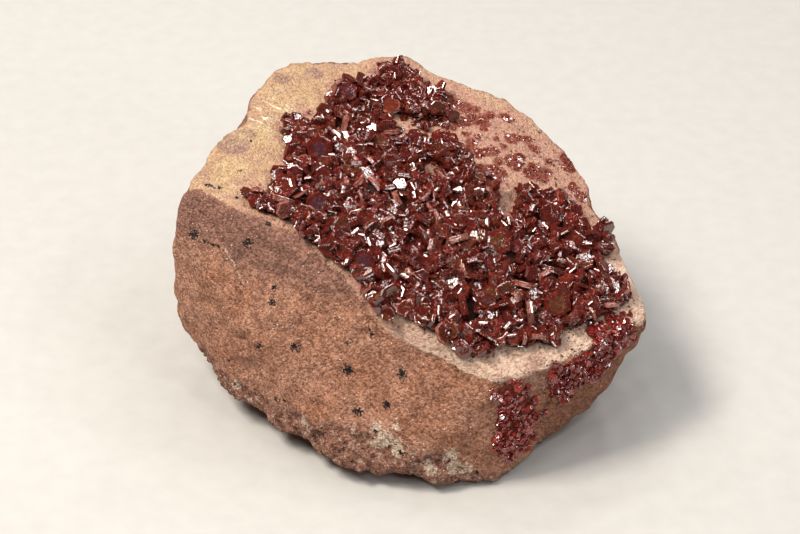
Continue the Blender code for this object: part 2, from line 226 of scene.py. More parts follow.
def tangents(vectors):
    """Two unit vectors across each unit vector, and across each other."""
    side = unit(np.cross(vectors, (0.31, 0.47, 0.83)))
    return side, np.cross(vectors, side)


def surface_normals(directions):
    """Outward normals of the block, from points a small step apart along two tangents of each ray."""
    step = 0.02  # radians: about half a millimetre on the block
    side, other = tangents(directions)
    here = block_surface(directions)
    along = block_surface(unit(directions + step * side)) - here
    across = block_surface(unit(directions + step * other)) - here
    return unit(np.cross(along, across))


print("the ray straight up leaves at", block_surface(np.array([[0.0, 0.0, 1.0]])).round(2), "mm")

# %% [markdown]
# ## Where each finish lies
#
# The bed's cream coat, the mauve band under its rim, the rubbly foot and the bleached patches each have an
# edge. Painting them would need a picture. Instead every vertex gets its signed distance from each edge, in
# millimetres, above 0 on the inside. The material adds noise to it and so draws an edge as ragged as stone,
# finer than the mesh.

# %% Lines round the block
# Each line is written as corners on the surface, and closed round the hidden sides by guessed ones.
MAUVE_LINE = [
    (-32.0, -7.3, 26.3), (-29.3, -9.5, 26.9), (-26.3, -11.7, 26.8), (-23.3, -13.7, 25.4),
    (-20.0, -15.6, 25.0), (-15.9, -17.5, 25.1), (-11.5, -19.1, 25.0), (-7.9, -19.7, 25.8),
    (-5.4, -21.1, 25.0), (2.0, -26.0, 23.5), (10.0, -31.0, 24.0), (34.0, -10.0, 26.0),
    (30.0, 14.0, 29.0), (4.0, 31.0, 29.0), (-14.0, 29.0, 27.0), (-31.0, 8.0, 26.0),
]  # fmt: skip
# The coat's edge follows the bed's front rim, dips over it as a lip, and closes round the back rim.
COAT_LINE = [
    (-30.5, -6.0, 33.9), (-29.4, -6.1, 34.2), (-27.1, -7.7, 33.6), (-24.5, -9.1, 33.1),
    (-22.6, -9.9, 32.8), (-20.5, -10.5, 32.4), (-18.6, -12.0, 31.8), (-15.6, -12.5, 31.2),
    (-13.3, -14.2, 30.2), (-11.9, -15.3, 29.5), (-10.1, -17.0, 28.3), (-7.8, -18.6, 27.1),
    (-5.8, -20.7, 25.4), (-4.4, -21.9, 23.9), (-2.9, -23.5, 22.4), (0.0, -24.9, 20.7),
    (5.7, -27.7, 19.6), (8.8, -29.3, 18.2), (14.1, -30.5, 17.4), (17.0, -29.6, 17.6),
    (19.2, -28.1, 18.2), (21.1, -27.0, 18.4), (24.0, -24.5, 18.6), (30.0, -18.5, 18.4),
    (34.5, -14.5, 17.6), (34.8, -9.0, 20.6), (32.4, -5.0, 22.0), (29.5, 3.0, 25.2), (28.0, 9.0, 26.7),
    (22.5, 17.0, 29.7), (15.5, 23.5, 31.7), (6.5, 27.0, 32.7), (0.0, 30.5, 34.7), (-10.0, 27.0, 35.7),
    (-16.5, 26.5, 36.2), (-20.5, 20.5, 36.0), (-24.2, 11.5, 35.5), (-28.0, 2.0, 34.5), (-30.3, -2.0, 34.1),
]  # fmt: skip
FOOT_LINE = [
    (-30.0, -10.0, 9.0), (-24.1, -17.8, 8.0), (-22.2, -19.4, 7.4), (-20.2, -21.3, 7.3),
    (-16.1, -24.6, 8.1), (-11.3, -27.9, 8.5), (-6.0, -29.7, 9.1), (-2.9, -31.1, 8.5),
    (0.7, -32.4, 7.8), (6.2, -33.1, 6.7), (10.1, -32.8, 3.6), (15.0, -30.0, 1.5),
    (30.0, -17.0, 2.0), (33.0, 1.0, 6.0), (17.0, 26.0, 8.0), (-12.0, 29.0, 7.0), (-30.0, 8.0, 8.0),
]  # fmt: skip
# Pale, bleached rubble at the foot: middle and radius of each patch.
BLEACHED = [
    ((-3.4, -30.5, 9.2), 0.8), ((-3.2, -31.6, 7.2), 1.1), ((-1.9, -31.6, 8.0), 1.3),
    ((-0.4, -32.6, 6.9), 1.1), ((-0.4, -31.0, 10.1), 0.6), ((-14.2, -26.6, 7.3), 0.8),
    ((-13.7, -27.2, 6.4), 0.6), ((-6.6, -30.1, 8.2), 0.6), ((4.3, -33.8, 4.5), 1.0),
    ((7.2, -33.2, 6.0), 1.0), ((9.2, -33.3, 3.7), 1.1), ((7.8, -33.4, 4.1), 1.1),
    ((-24.4, -17.7, 6.9), 0.9), ((-20.6, -21.0, 8.0), 0.6),
]  # fmt: skip
# Mauve patches of the coat along the block's outer edge, seen from above: middle and radius.
OUTER_PATCHES = [
    ((-25.0, 4.9), 2.4), ((-23.3, 7.7), 1.6), ((-18.0, 22.0), 1.6), ((-13.5, 24.5), 1.3), ((-3.0, 26.0), 1.4),
]  # fmt: skip
PINK_PATCH = (19.6, -28.6, 17.4)  # where the lip's coat has worn off, beside the corner's crystals
PINK_REACH = 2.8  # mm
# A crack in the mauve band, drawn as a pale line: a painted highlight along one edge of it.
CRACK_LINE = [
    (-29.2, -9.6, 27.6), (-28.2, -10.2, 27.5), (-26.7, -11.1, 27.6), (-25.6, -11.8, 27.4),
    (-25.1, -12.3, 26.9), (-24.5, -12.9, 26.1), (-24.0, -13.6, 25.2), (-23.3, -14.4, 24.2),
    (-22.9, -15.1, 23.4), (-22.2, -15.8, 22.6),
]  # fmt: skip
CRACK_MIDDLE, CRACK_REACH = (-24.4, -13.1, 25.7), 3.2  # the crack is seen only this near its middle


def seen_from_heart(points):
    """Azimuth and elevation of points from HEART, in radians, and their distance from it."""
    away = np.asarray(points) - HEART
    distance = np.linalg.norm(away, axis=1)
    return np.arctan2(away[:, 1], away[:, 0]), np.arcsin(away[:, 2] / distance), distance


def over_line(points, line):
    """Signed distance of surface points from a line round the block, in mm, above 0 over it.

    It is the elevation of a point less the line's elevation at the same azimuth, times the point's distance.
    """
    turn, lift, distance = seen_from_heart(points)
    line_turn, line_lift, _ = seen_from_heart(line)
    return (lift - np.interp(turn, line_turn, line_lift, period=2 * math.pi)) * distance


over_mauve = over_line(np.array([CRACK_MIDDLE]), MAUVE_LINE)[0]
print(f"the crack's middle is {over_mauve:.1f} mm over the mauve edge")

# %% Outlines of the crusts
# Outline of the main crust's large plates, seen from above.
MAIN_OUTLINE = [
    (-2.5, 26.0), (0.0, 27.0), (2.0, 26.0), (4.0, 23.5), (6.5, 21.5), (8.0, 18.5), (9.0, 15.5),
    (7.5, 12.5), (8.0, 9.0), (10.5, 8.0), (12.0, 4.5), (14.5, 3.0), (16.0, 0.5), (16.0, -2.0),
    (18.0, 0.5), (19.0, 3.5), (22.0, 3.5), (24.5, 2.0), (26.5, 1.0), (29.0, -2.0), (31.0, -4.0),
    (29.5, -7.5), (28.5, -9.5), (31.0, -12.0), (31.5, -14.0), (28.5, -16.0), (26.5, -18.0), (23.0, -20.5),
    (22.0, -24.0), (18.5, -24.0), (16.0, -25.0), (12.0, -26.5), (8.5, -26.0), (4.5, -24.0), (0.5, -22.0),
    (-3.0, -20.5), (-5.0, -18.5), (-7.0, -16.0), (-9.5, -14.5), (-12.5, -12.5), (-15.5, -9.8), (-21.5, -7.0),
    (-20.0, -6.0), (-18.0, -0.5), (-16.5, 1.5), (-16.0, 5.5), (-17.0, 11.5), (-12.5, 13.5), (-10.0, 15.5),
    (-11.0, 18.0), (-9.5, 22.5), (-5.5, 23.5), (-3.0, 24.5),
]  # fmt: skip
# The edge of the main crust's finer crystals, which follows every bay of it.
CRYSTAL_EDGE = [
    (-22.7, -6.8), (-21.4, -8.5), (-19.8, -9.7), (-18.6, -10.3), (-17.1, -10.3), (-15.4, -10.7),
    (-14.8, -12.5), (-13.2, -13.8), (-12.1, -14.6), (-9.8, -15.7), (-8.5, -16.6), (-7.2, -17.6),
    (-6.1, -18.6), (-5.4, -20.2), (-4.6, -21.1), (-3.0, -22.6), (-1.0, -22.8), (2.6, -23.7),
    (4.4, -25.2), (6.3, -26.1), (9.1, -27.8), (11.3, -27.8), (12.6, -27.1), (13.9, -26.0),
    (18.1, -25.6), (19.2, -24.7), (21.0, -24.5), (22.1, -25.1), (22.6, -22.1), (24.2, -21.6),
    (29.3, -17.9), (30.8, -16.2), (32.2, -16.1), (33.7, -14.1), (32.9, -13.5), (31.9, -10.9),
    (30.3, -9.7), (28.4, -8.7), (28.9, -7.2), (31.2, -6.8), (31.1, -3.6), (30.1, -1.8),
    (28.6, -3.4), (26.0, -1.9), (25.9, 0.9), (22.4, 2.5), (20.0, 3.5), (18.2, 2.7), (18.1, 0.6),
    (16.9, -3.7), (13.3, -4.7), (15.1, -2.7), (14.4, -0.7), (14.0, 2.1), (11.4, 2.1), (10.2, 5.8),
    (8.9, 7.2), (8.5, 9.7), (7.0, 11.6), (7.7, 14.5), (7.0, 17.5), (6.0, 22.6), (4.1, 23.1),
    (1.8, 26.0), (0.9, 27.3), (-1.3, 27.5), (-3.2, 26.9), (-3.0, 23.4), (-3.9, 22.2), (-5.4, 22.6),
    (-7.6, 22.0), (-8.3, 20.7), (-9.7, 21.6), (-10.5, 19.2), (-10.9, 16.7), (-9.3, 13.8),
    (-11.3, 14.2), (-13.4, 11.5), (-15.3, 10.5), (-15.8, 11.7), (-17.3, 10.9), (-16.7, 6.6),
    (-15.5, 3.7), (-16.7, 1.8), (-16.6, -0.2), (-18.5, -1.9), (-19.4, -4.1), (-20.0, -6.5),
]  # fmt: skip
# Bare places in it: middle seen from above, and radius.
BARE = [
    ((-9.3, -9.1), 1.1), ((0.0, 14.6), 2.1), ((2.2, 12.2), 1.9), ((7.4, -3.2), 1.1), ((10.1, -3.6), 1.2),
    ((18.3, -5.9), 1.0), ((23.4, -5.2), 0.8), ((4.5, 4.6), 1.2), ((3.0, 2.6), 0.9), ((-2.1, 1.8), 0.8),
    ((5.4, 13.2), 1.5), ((4.2, 11.2), 1.2), ((-4.8, -1.7), 0.9), ((-6.7, 4.0), 0.7), ((8.4, 12.6), 1.4),
]  # fmt: skip
# Thin places of the main crust, where only small crystals grow: middle seen from above, and radius.
THIN = [
    ((1.5, 12.6), 3.4), ((5.5, 14.0), 2.8), ((4.5, 4.4), 2.2),
    ((-4.8, -1.7), 1.6), ((18.3, -6.0), 1.7), ((-9.4, -9.2), 1.6),
]  # fmt: skip
SADDLE = [((28.9, -21.2), 2.1), ((30.9, -19.2), 1.5)]  # where fine crystals climb over the rim to the wall
# Flat patches of crystals on the bed beside the main crust, and the solid's clusters that they belong to.
FLAT_PATCHES = [
    ((8.8, 20.7), 1.2), ((9.9, 20.1), 1.2), ((12.4, 17.3), 1.3), ((13.0, 16.6), 0.9), ((14.1, 18.9), 0.7),
    ((7.6, 17.3), 1.1), ((9.0, 15.9), 0.9), ((10.2, 16.5), 0.9), ((11.4, 17.9), 0.8), ((11.0, 11.6), 0.7),
    ((9.4, 9.3), 0.9), ((10.9, 9.4), 1.1), ((12.2, 9.2), 0.9), ((13.3, 9.8), 0.7), ((14.2, 10.2), 0.8),
    ((15.1, 8.3), 0.7), ((17.2, 13.7), 0.9), ((18.5, 14.2), 0.6), ((19.5, 14.3), 0.8), ((17.4, 8.7), 1.3),
    ((18.4, 9.9), 0.6), ((19.9, 7.1), 0.9), ((20.6, 8.5), 0.8), ((21.5, 6.9), 0.8), ((22.4, 8.3), 0.7),
    ((12.0, 5.2), 1.5), ((13.2, 4.3), 1.5), ((14.3, 5.1), 1.3), ((15.4, 6.0), 0.8), ((13.9, 6.0), 1.2),
    ((25.7, 12.0), 0.9), ((25.9, 10.2), 0.9), ((26.5, 6.2), 0.6), ((27.6, 4.7), 0.8), ((20.6, 12.6), 0.6),
    ((6.3, 21.2), 1.2), ((6.9, 18.8), 1.2), ((5.3, 18.0), 1.2), ((17.0, 18.2), 0.7), ((16.2, 18.9), 0.6),
    ((11.6, 19.9), 0.6), ((31.1, -2.2), 1.1), ((-21.0, -4.6), 0.3), ((-13.9, 14.6), 0.3),
    ((4.6, 20.4), 0.9), ((7.9, 22.3), 0.6), ((10.8, 18.6), 0.6), ((8.2, 14.3), 0.5), ((12.9, 14.9), 0.4),
    ((11.9, 12.9), 0.4), ((10.2, 13.2), 0.4), ((16.0, 11.6), 0.4), ((14.9, 13.0), 0.3), ((22.9, 10.6), 0.4),
]  # fmt: skip
BACK_CLUSTERS = [
    ((11.0, 19.0), 2.2), ((17.0, 18.4), 1.2), ((20.5, 13.8), 1.7), ((13.2, 11.2), 1.8),
    ((18.2, 10.2), 1.3), ((15.2, 7.0), 1.3), ((21.8, 7.3), 1.2), ((25.5, 10.6), 1.1), ((26.8, 6.0), 1.1),
]  # fmt: skip
# Outlines of the crusts on the upright sides, seen from the front.
CORNER_OUTLINE = [
    (13.9, 17.0), (16.1, 17.0), (17.2, 15.2), (18.4, 14.0), (19.3, 11.4), (19.8, 9.6), (19.5, 8.3),
    (19.0, 5.6), (17.2, 4.0), (14.9, 4.6), (13.8, 6.0), (14.7, 7.2), (14.0, 9.3), (13.7, 11.0),
    (14.6, 12.2), (14.3, 14.0), (13.5, 15.4),
]  # fmt: skip
WALL_OUTLINE = [
    (28.5, 19.3), (31.0, 19.6), (33.3, 18.8), (33.2, 16.5), (32.0, 14.0), (30.5, 12.6), (28.2, 11.8),
    (25.8, 11.6), (24.0, 11.1), (22.2, 12.2), (21.0, 14.3), (21.1, 17.6), (23.4, 17.9), (25.6, 18.1),
]  # fmt: skip
FROM_ABOVE = (0, 1)  # the two axes of an outline that is seen from above
FROM_FRONT = (0, 2)  # and of one on a side that faces the front
STARTS = {FROM_ABOVE: 16.0, FROM_FRONT: 12.0}  # where an outline's reach starts, up or to the front
STAIN = 0.25  # mm: how much further than its crystals a flat patch stains the stone
FAR_OUT = -99.0  # mm: the distance given to points on another side of the block
print(len(BARE), "bare places,", len(FLAT_PATCHES), "flat patches,", len(BACK_CLUSTERS), "clusters")


# %% Signed distances from outlines and spots
def inside(points, outline):
    """Which 2D points lie inside the outline, by the even-odd rule."""
    odd = np.zeros(len(points), bool)
    for (ax, ay), (bx, by) in zip(outline, outline[1:] + outline[:1]):
        if ay == by:
            continue
        crosses = (ay > points[:, 1]) != (by > points[:, 1])
        odd ^= crosses & (points[:, 0] < (bx - ax) * (points[:, 1] - ay) / (by - ay) + ax)
    return odd


def in_outline(points, outline, axes):
    """Signed distance of surface points from an outline: to its nearest edge, above 0 inside."""
    flat = points[:, list(axes)]
    starts, ends = np.array(outline), np.roll(outline, -1, axis=0)
    nearest = np.full(len(flat), np.inf)
    for start, end in zip(starts, ends):
        way = end - start
        share = np.clip((flat - start) @ way / (way @ way), 0, 1)
        nearest = np.minimum(nearest, np.linalg.norm(flat - start - share[:, None] * way, axis=1))
    facing = points[:, 2] if axes == FROM_ABOVE else -points[:, 1]
    return np.where(facing < STARTS[axes], FAR_OUT, np.where(inside(flat, outline), nearest, -nearest))


def in_spots(points, spots):
    """Signed distance from the nearest of some round spots seen from above, above 0 within one."""
    found = [reach - np.linalg.norm(points[:, :2] - middle, axis=1) for middle, reach in spots]
    return np.where(points[:, 2] < STARTS[FROM_ABOVE], FAR_OUT, np.max(found, axis=0))


def in_main_crust(points):
    """Signed distance from the edge of the main crust's finer crystals and of its bare places."""
    return np.minimum(in_outline(points, CRYSTAL_EDGE, FROM_ABOVE), -in_spots(points, BARE))


def under_crystals(points):
    """Signed distance from the nearest crust's outline, above 0 under a crust."""
    sides = [in_outline(points, outline, FROM_FRONT) for outline in (CORNER_OUTLINE, WALL_OUTLINE)]
    flat = in_spots(points, FLAT_PATCHES) + STAIN
    return np.max([in_main_crust(points), flat, in_spots(points, SADDLE), *sides], axis=0)


bare_middles = np.array([(*middle, 30.0) for middle, _ in BARE])
print((in_outline(bare_middles, CRYSTAL_EDGE, FROM_ABOVE) > 0).sum(), "bare places lie inside the main crust")

# %% [markdown]
# ## Dendrites
#
# The black marks are manganese oxide that crept into the stone from a point and branched, like frost. They
# are only a stain, so they are colour. Each vertex near one is given its offset from the mark's middle, in
# units of the mark's size, and the material draws the ragged star from that.

# %% Places of the black marks
# Diameter in mm, and where marks of that size lie.
DENDRITES = [
    (1.60, [(-30.2, -8.6, 27.9)]),
    (1.40, [(-22.0, -12.5, 29.0), (-7.6, -25.3, 15.6)]),
    (1.25, [(-6.0, -28.8, 10.8), (-15.2, -21.9, 17.2), (-20.4, -20.0, 16.1), (0.3, -27.2, 16.4)]),
    (1.00, [(-1.9, -29.1, 12.3), (-19.1, -11.6, 31.6), (-18.5, -18.2, 22.6), (14.4, -30.9, 12.0)]),
    (0.80, [(-18.2, -16.9, 24.3), (-4.0, -23.9, 20.9), (0.1, -32.8, 6.4), (11.0, -32.6, 2.9)]),
    (0.65, [(-23.7, -1.0, 34.2), (-18.3, 0.0, 33.4), (-28.2, -5.0, 34.1), (-26.4, -5.5, 33.9)]),
    (0.55, [(-4.7, -23.2, 22.0), (-7.6, -23.5, 19.1), (-25.4, -16.3, 10.4), (-18.2, -22.8, 8.3)]),
    (0.55, [(-13.6, -26.4, 8.8), (-11.1, -28.4, 7.6), (-13.3, -27.5, 5.8), (-3.6, -30.7, 8.8)]),
    (0.55, [(-2.8, -32.3, 5.8), (-22.3, 6.0, 34.8), (-23.8, -7.1, 33.3), (-17.0, -23.7, 8.7)]),
    (0.45, [(-28.6, -9.9, 27.7), (-27.9, -10.3, 27.6), (-27.2, -10.8, 27.5), (-26.4, -11.2, 27.5)]),
]
MARK_REACH = 1.6  # mm from its middle to where a mark's offset is no longer read


def mark_offsets(points):
    """Offset of each point from the nearest mark, in units of its radius, and whether that mark is near.

    The second value falls from 1 to 0 towards MARK_REACH, so that the jump of the first between two marks,
    which the mesh would smear, is never seen.
    """
    offset, near = np.full((len(points), 3), 9.0), np.full(len(points), np.inf)
    for size, places in DENDRITES:
        for where in places:
            away = points - where
            distance = np.linalg.norm(away, axis=1)
            closer = distance < near
            offset[closer] = away[closer] / (size / 2)
            near = np.minimum(near, distance)
    return offset, smoothstep(-near, -MARK_REACH, -0.6 * MARK_REACH)


print(sum(len(places) for _, places in DENDRITES), "marks")

# %% [markdown]
# ## The fine stone
#
# The stone needs millimetre relief all round. A ball of six square grids covers it evenly and has no poles,
# unlike a globe of rings. Each grid point is a ray, each ray gives one point of the block, and a few octaves
# of noise break the surface up: swells, grit and the ripples of the blow on the broken faces, a smoother
# skin under the coat, and coarse rubble at the foot.

# %% A ball of six grids
GRID = 128  # squares along each side of a grid: a square is about 0.4 mm on the stone
STRIKE = (-36.0, -14.0, 30.0)  # where the hammer broke the front face off: ripples run round this point
RIPPLE = 3.1  # mm from crest to crest


def ball_of_grids(count):
    """Unit directions (N, 3) and squares (M, 4) of a cube's six grids blown up to a ball.

    A grid line at share t of the way from the middle of a cube's face lies at tan(45 degrees * t), which
    makes the squares nearly equal. Points that two or three grids share are merged.
    """
    line = np.tan(np.linspace(-1, 1, count + 1) * math.pi / 4)
    u, v = (part.ravel() for part in np.meshgrid(line, line, indexing="ij"))
    corner = np.arange(count)[:, None] * (count + 1) + np.arange(count)
    squares = np.stack([corner, corner + count + 1, corner + count + 2, corner + 1], axis=-1).reshape(-1, 4)
    points, faces = [], []
    for axis in range(3):
        for sign in (1, -1):
            grid = np.empty((len(u), 3))
            grid[:, axis], grid[:, (axis + 1) % 3], grid[:, (axis + 2) % 3] = sign, u, v
            faces.append((squares if sign > 0 else squares[:, ::-1]) + len(points) * len(u))
            points.append(grid)
    points = np.concatenate(points)
    _, first, merged = np.unique(points.round(6), axis=0, return_index=True, return_inverse=True)
    return unit(points[first]), merged.ravel()[np.concatenate(faces)]


def stone_surface(directions):
    """Points of the fine stone: the crisp block, moved in or out along each ray by the forms' heights.

    Heights and cells are in mm. sides is 1 on the broken faces, low is 1 at the foot, and rim is the distance
    from the coat's edge, which is torn.
    """
    points = block_surface(directions, CRISP)
    rim, foot = over_line(points, COAT_LINE), over_line(points, FOOT_LINE)
    sides, low = smoothstep(-rim, -0.3, 0.8), smoothstep(-foot, -0.6, 1.0)
    turns = np.linalg.norm(points - STRIKE, axis=1) * 2 * math.pi / RIPPLE
    waves = np.sin(turns + 2 * rough(points, 6.0, 51))
    grit = (0.12 + 0.22 * sides) * rough(points, 2.6, 11, octaves=4)
    swells = 0.32 * sides * rough(points, 5.5, 81)
    ripples = 0.12 * sides * (1 - low) * waves * smoothstep(lattice_noise(points, 9.0, 5), -0.5, 0.3)
    torn_rim = 0.22 * np.exp(-((rim / 1.1) ** 2)) * rough(points, 1.5, 31)
    rubble = low * (0.65 * rough(points, 1.5, 21) - 0.2)
    chips = 0.35 * smoothstep(lattice_noise(points, 1.7, 41) - 0.2 * sides, 0.35, 0.75)
    height = grit + swells + ripples + torn_rim + rubble - chips
    finished = points + directions * height[:, None]
    finished[:, 2] = np.maximum(finished[:, 2], 0)
    return finished


def within(points, middle, reach, soft=0.6):
    """1 nearer to a middle than reach mm and 0 further off, blended over soft mm to both sides."""
    return smoothstep(-np.linalg.norm(points - middle, axis=1), -reach - soft, -reach + soft)


def stone_zones(points):
    """The distances in mm, and the blends from 0 to 1, that the stone's material reads."""
    bleached = [reach - np.linalg.norm(points - where, axis=1) for where, reach in BLEACHED]
    offset, near = mark_offsets(points)
    return {
        "coat": over_line(points, COAT_LINE),
        "mauve": over_line(points, MAUVE_LINE),
        "foot": -over_line(points, FOOT_LINE),
        "crystals": under_crystals(points),
        "bleached": np.max(bleached, axis=0),
        "main": in_main_crust(points),
        "outer": -in_spots(points, OUTER_PATCHES),
        "pink": within(points, PINK_PATCH, PINK_REACH),
        "crack": over_line(points, CRACK_LINE),
        "crack_near": within(points, CRACK_MIDDLE, CRACK_REACH),
        "mark": offset,
        "mark_near": near,
    }


# %% Mesh helper
def new_piece(name, points, loops, sizes, slot, replaced=(), attributes=None, smooth=False):
    """A closed mesh as a piece that rides on the part.

    points is in mm, loops lists every face's corners one after another, and sizes says how many corners each
    face has. An attribute belongs to vertices, faces or face corners, whichever its length matches.
    """
    mesh = bpy.data.meshes.new(name)
    mesh.vertices.add(len(points))
    mesh.vertices.foreach_set("co", place(points).astype(np.float32).ravel())
    mesh.loops.add(len(loops))
    mesh.loops.foreach_set("vertex_index", loops.astype(np.int32))
    mesh.polygons.add(len(sizes))
    mesh.polygons.foreach_set("loop_start", np.concatenate([[0], np.cumsum(sizes)[:-1]]).astype(np.int32))
    mesh.update(calc_edges=True)
    domains = {len(points): "POINT", len(sizes): "FACE", len(loops): "CORNER"}
    for key, values in (attributes or {}).items():
        form, field = ("FLOAT_VECTOR", "vector") if values.ndim == 2 else ("FLOAT", "value")
        made = mesh.attributes.new(key, form, domains[len(values)])
        made.data.foreach_set(field, values.astype(np.float32).ravel())
    mesh.polygons.foreach_set("use_smooth", np.full(len(sizes), smooth))
    mesh.validate()
    piece = bpy.data.objects.new(name, mesh)
    bpy.context.scene.collection.objects.link(piece)
    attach(piece, "root")
    if replaced:
        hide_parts(*replaced)
    print(f"{name}: {len(points)} points, {sum(sizes) - 2 * len(sizes)} triangles")
    return piece


# %% Make the stone
directions, squares = ball_of_grids(GRID)
stone_points = stone_surface(directions)
stone = new_piece(
    "broken_sandstone", stone_points, squares.ravel(), np.full(len(squares), 4), "sandstone",
    ["matrix"], stone_zones(stone_points), smooth=True,
)  # fmt: skip

# %% [markdown]
# ## Colours and nodes
#
# Colours are picked as sRGB hex values, and Blender's shaders work in linear light, so one function turns one
# into the other. Every material below is built with one more function, which adds a node, sets its settings
# and fills its sockets with values or links. Masks, which say where a colour or a form lies, are products of
# values that are each brought to 0 to 1, and a finish is a list of colours laid one over another.


# %% Helpers for materials
def colour(text):
    """Linear colour of an sRGB hex value: c/12.92 up to 0.04045, and ((c + 0.055)/1.055)^2.4 above."""
    parts = [int(text[start : start + 2], 16) / 255 for start in (1, 3, 5)]
    return (*(c / 12.92 if c <= 0.04045 else ((c + 0.055) / 1.055) ** 2.4 for c in parts), 1.0)


def fill_sockets(made, inputs):
    """Gives a node's sockets, by name or number, their values, or links them to outputs."""
    for socket, value in inputs.items():
        if isinstance(value, bpy.types.NodeSocket):
            made.id_data.links.new(value, made.inputs[socket])
        else:
            made.inputs[socket].default_value = value


def node(tree, kind, inputs=(), out=0, stops=(), **settings):
    """Adds a shader node and returns its output number or name out.

    inputs holds the values or links of its sockets, by name or number, or simply in their order. stops are
    the positions and hex colours of a colour ramp, from left to right.
    """
    made = tree.nodes.new("ShaderNode" + kind)
    for name, value in settings.items():
        setattr(made, name, value)
    fill_sockets(made, inputs if isinstance(inputs, dict) else dict(enumerate(inputs)))
    for index, (position, shade) in enumerate(stops):
        ramp = made.color_ramp.elements
        stop = ramp[index] if index < 2 else ramp.new(position)
        stop.position, stop.color = position, colour(shade)
    return made.outputs[out]


def mask(*parts):
    """Product of the parts.

    A part is an output, a number, or (value, low, high), which is value brought from low..high to 0..1 and
    held there. Two more numbers in it, bottom and top, stand for other ends than 0 and 1.
    """
    product = None
    for part in parts:
        if isinstance(part, tuple):
            part = node(part[0].id_data, "MapRange", part)
        if product is not None:
            part = node(product.id_data, "Math", (product, part), operation="MULTIPLY")
        product = part
    return product


def zone(distance, wander, ragged, soft):
    """Mask of a zone: its distance plus noise from -ragged to ragged mm, then 0 to 1 over soft mm."""
    tree = distance.id_data
    shifted = node(tree, "Math", (wander, 2 * ragged, distance), operation="MULTIPLY_ADD")
    ends = (shifted, ragged - soft / 2, ragged + soft / 2)
    return node(tree, "MapRange", ends, interpolation_type="SMOOTHSTEP")


def laid_over(base, layers):
    """Colour of layers over base, each (amount, colour), or (amount, colour, how it blends)."""
    for amount, shade, *blend in layers:
        inputs = {0: amount, 6: base, 7: colour(shade) if isinstance(shade, str) else shade}
        how = {"data_type": "RGBA", "blend_type": blend[0] if blend else "MIX"}
        base = node(base.id_data, "Mix", inputs, out=2, **how)
    return base


def new_material(name):
    """An empty material, its node tree, its shader and its coordinates in millimetres."""
    made = bpy.data.materials.new(name)
    made.use_nodes = True
    tree = made.node_tree
    spot = node(tree, "TexCoord", out="Object")
    ruler = node(tree, "Mapping", {"Vector": spot, "Scale": (1 / MM, 1 / MM, 1 / MM)})
    return made, tree, tree.nodes["Principled BSDF"], ruler


print("#bc8f8f in linear light is", np.round(colour("#bc8f8f")[:3], 3))

# %% [markdown]
# ## Sandstone
#
# Fine-grained sandstone, broken with a hammer: sand of 0.1 to 0.3 mm, cemented and stained pinkish brown by
# iron. Each grain catches the light on its own, so the eye sees a dry, matt surface with a fine speckle, soft
# clouds of colour, and faint slanting streaks where the break ran. On the bed lies a cream coat of carbonate.
# It ends at a ragged edge, and at the front rim it hangs over as a pale, wrinkled and pitted lip.

# %% The stone's patterns
GRAIN = 0.28  # mm: the sand is finer still, and is drawn as coarse as the render can show
DOT_CELL = 0.75  # mm: one cell may hold one single grain, seen as a dot
BREAK_DEG, GLINT_DEG = -38, 30  # how the break's streaks slant, and the coat's painted highlights
sandstone, tree, shader, ruler = new_material("iron-stained sandstone")
ZONES = (
    "coat", "outer", "mauve", "foot", "crystals", "main", "bleached", "pink", "crack", "crack_near",
    "mark_near",
)  # fmt: skip
read = {key: node(tree, "Attribute", out="Fac", attribute_name=key) for key in ZONES}
across_x = node(tree, "SeparateXYZ", (ruler,))
across_y = across_x.node.outputs["Y"]
# Lumps of noise: size in mm, detail and roughness.
cloud, patch, crumb, arms = (
    node(tree, "TexNoise", {"Vector": ruler, "Scale": 1 / size, "Detail": detail, "Roughness": roughness})
    for size, detail, roughness in ((7.0, 4.0, 0.6), (2.4, 5.0, 0.65), (0.8, 4.0, 0.7), (0.35, 2.0, 0.8))
)
# Drawn-out noise: the break's coarse and fine streaks, short white streaks of painted highlight on the coat
# along another direction, and the lip's wrinkles, like the skin on milk. Each has a turned ruler, its size
# along it in mm, detail, roughness and distortion.
broken_way = node(tree, "Mapping", {"Vector": ruler, "Rotation": (0.0, math.radians(BREAK_DEG), 0.0)})
glint_way = node(tree, "Mapping", {"Vector": ruler, "Rotation": (0.0, 0.0, math.radians(GLINT_DEG))})
streak, scratch, glint_streaks, wrinkle = (
    node(tree, "TexNoise", {
        "Vector": node(tree, "Mapping", {"Vector": way, "Scale": [1 / size for size in sizes]}),
        "Scale": 1.0, "Detail": detail, "Roughness": roughness, "Distortion": distortion,
    })
    for way, sizes, detail, roughness, distortion in (
        (broken_way, (1.8, 1.8, 0.5), 3.0, 0.65, 0.9),
        (broken_way, (1.1, 1.1, 0.24), 2.0, 0.6, 0.6),
        (glint_way, (2.0, 0.6, 2.0), 2.0, 0.5, 0.8),
        (ruler, (1.5, 1.5, 0.9), 4.0, 0.6, 1.5),
    )
)  # fmt: skip
# Each cell of a Voronoi pattern is one grain: hump is lowest in its middle, and sand and luck are random.
hump, dot = (
    node(tree, "TexVoronoi", {"Vector": ruler, "Scale": 1 / cell}, out="Distance")
    for cell in (GRAIN, DOT_CELL)
)
sand, luck = (node(tree, "SeparateColor", (cells.node.outputs["Color"],)) for cells in (hump, dot))
grain = node(tree, "Mix", {0: 0.15, 2: sand, 3: scratch}, data_type="FLOAT")
print(len(tree.nodes), "nodes make the stone's patterns")

# %% Masks of the stone's parts
GLINT_MIDDLE = (-19.9, 14.0, 35.5)  # the coat's painted highlights lie round this point


def dots(width, share):
    """Mask of round dots of a width in mm, in a share of the cells."""
    reach = width / 2 / DOT_CELL
    return mask((dot, reach, 0.7 * reach), (luck, share, share - 0.02))


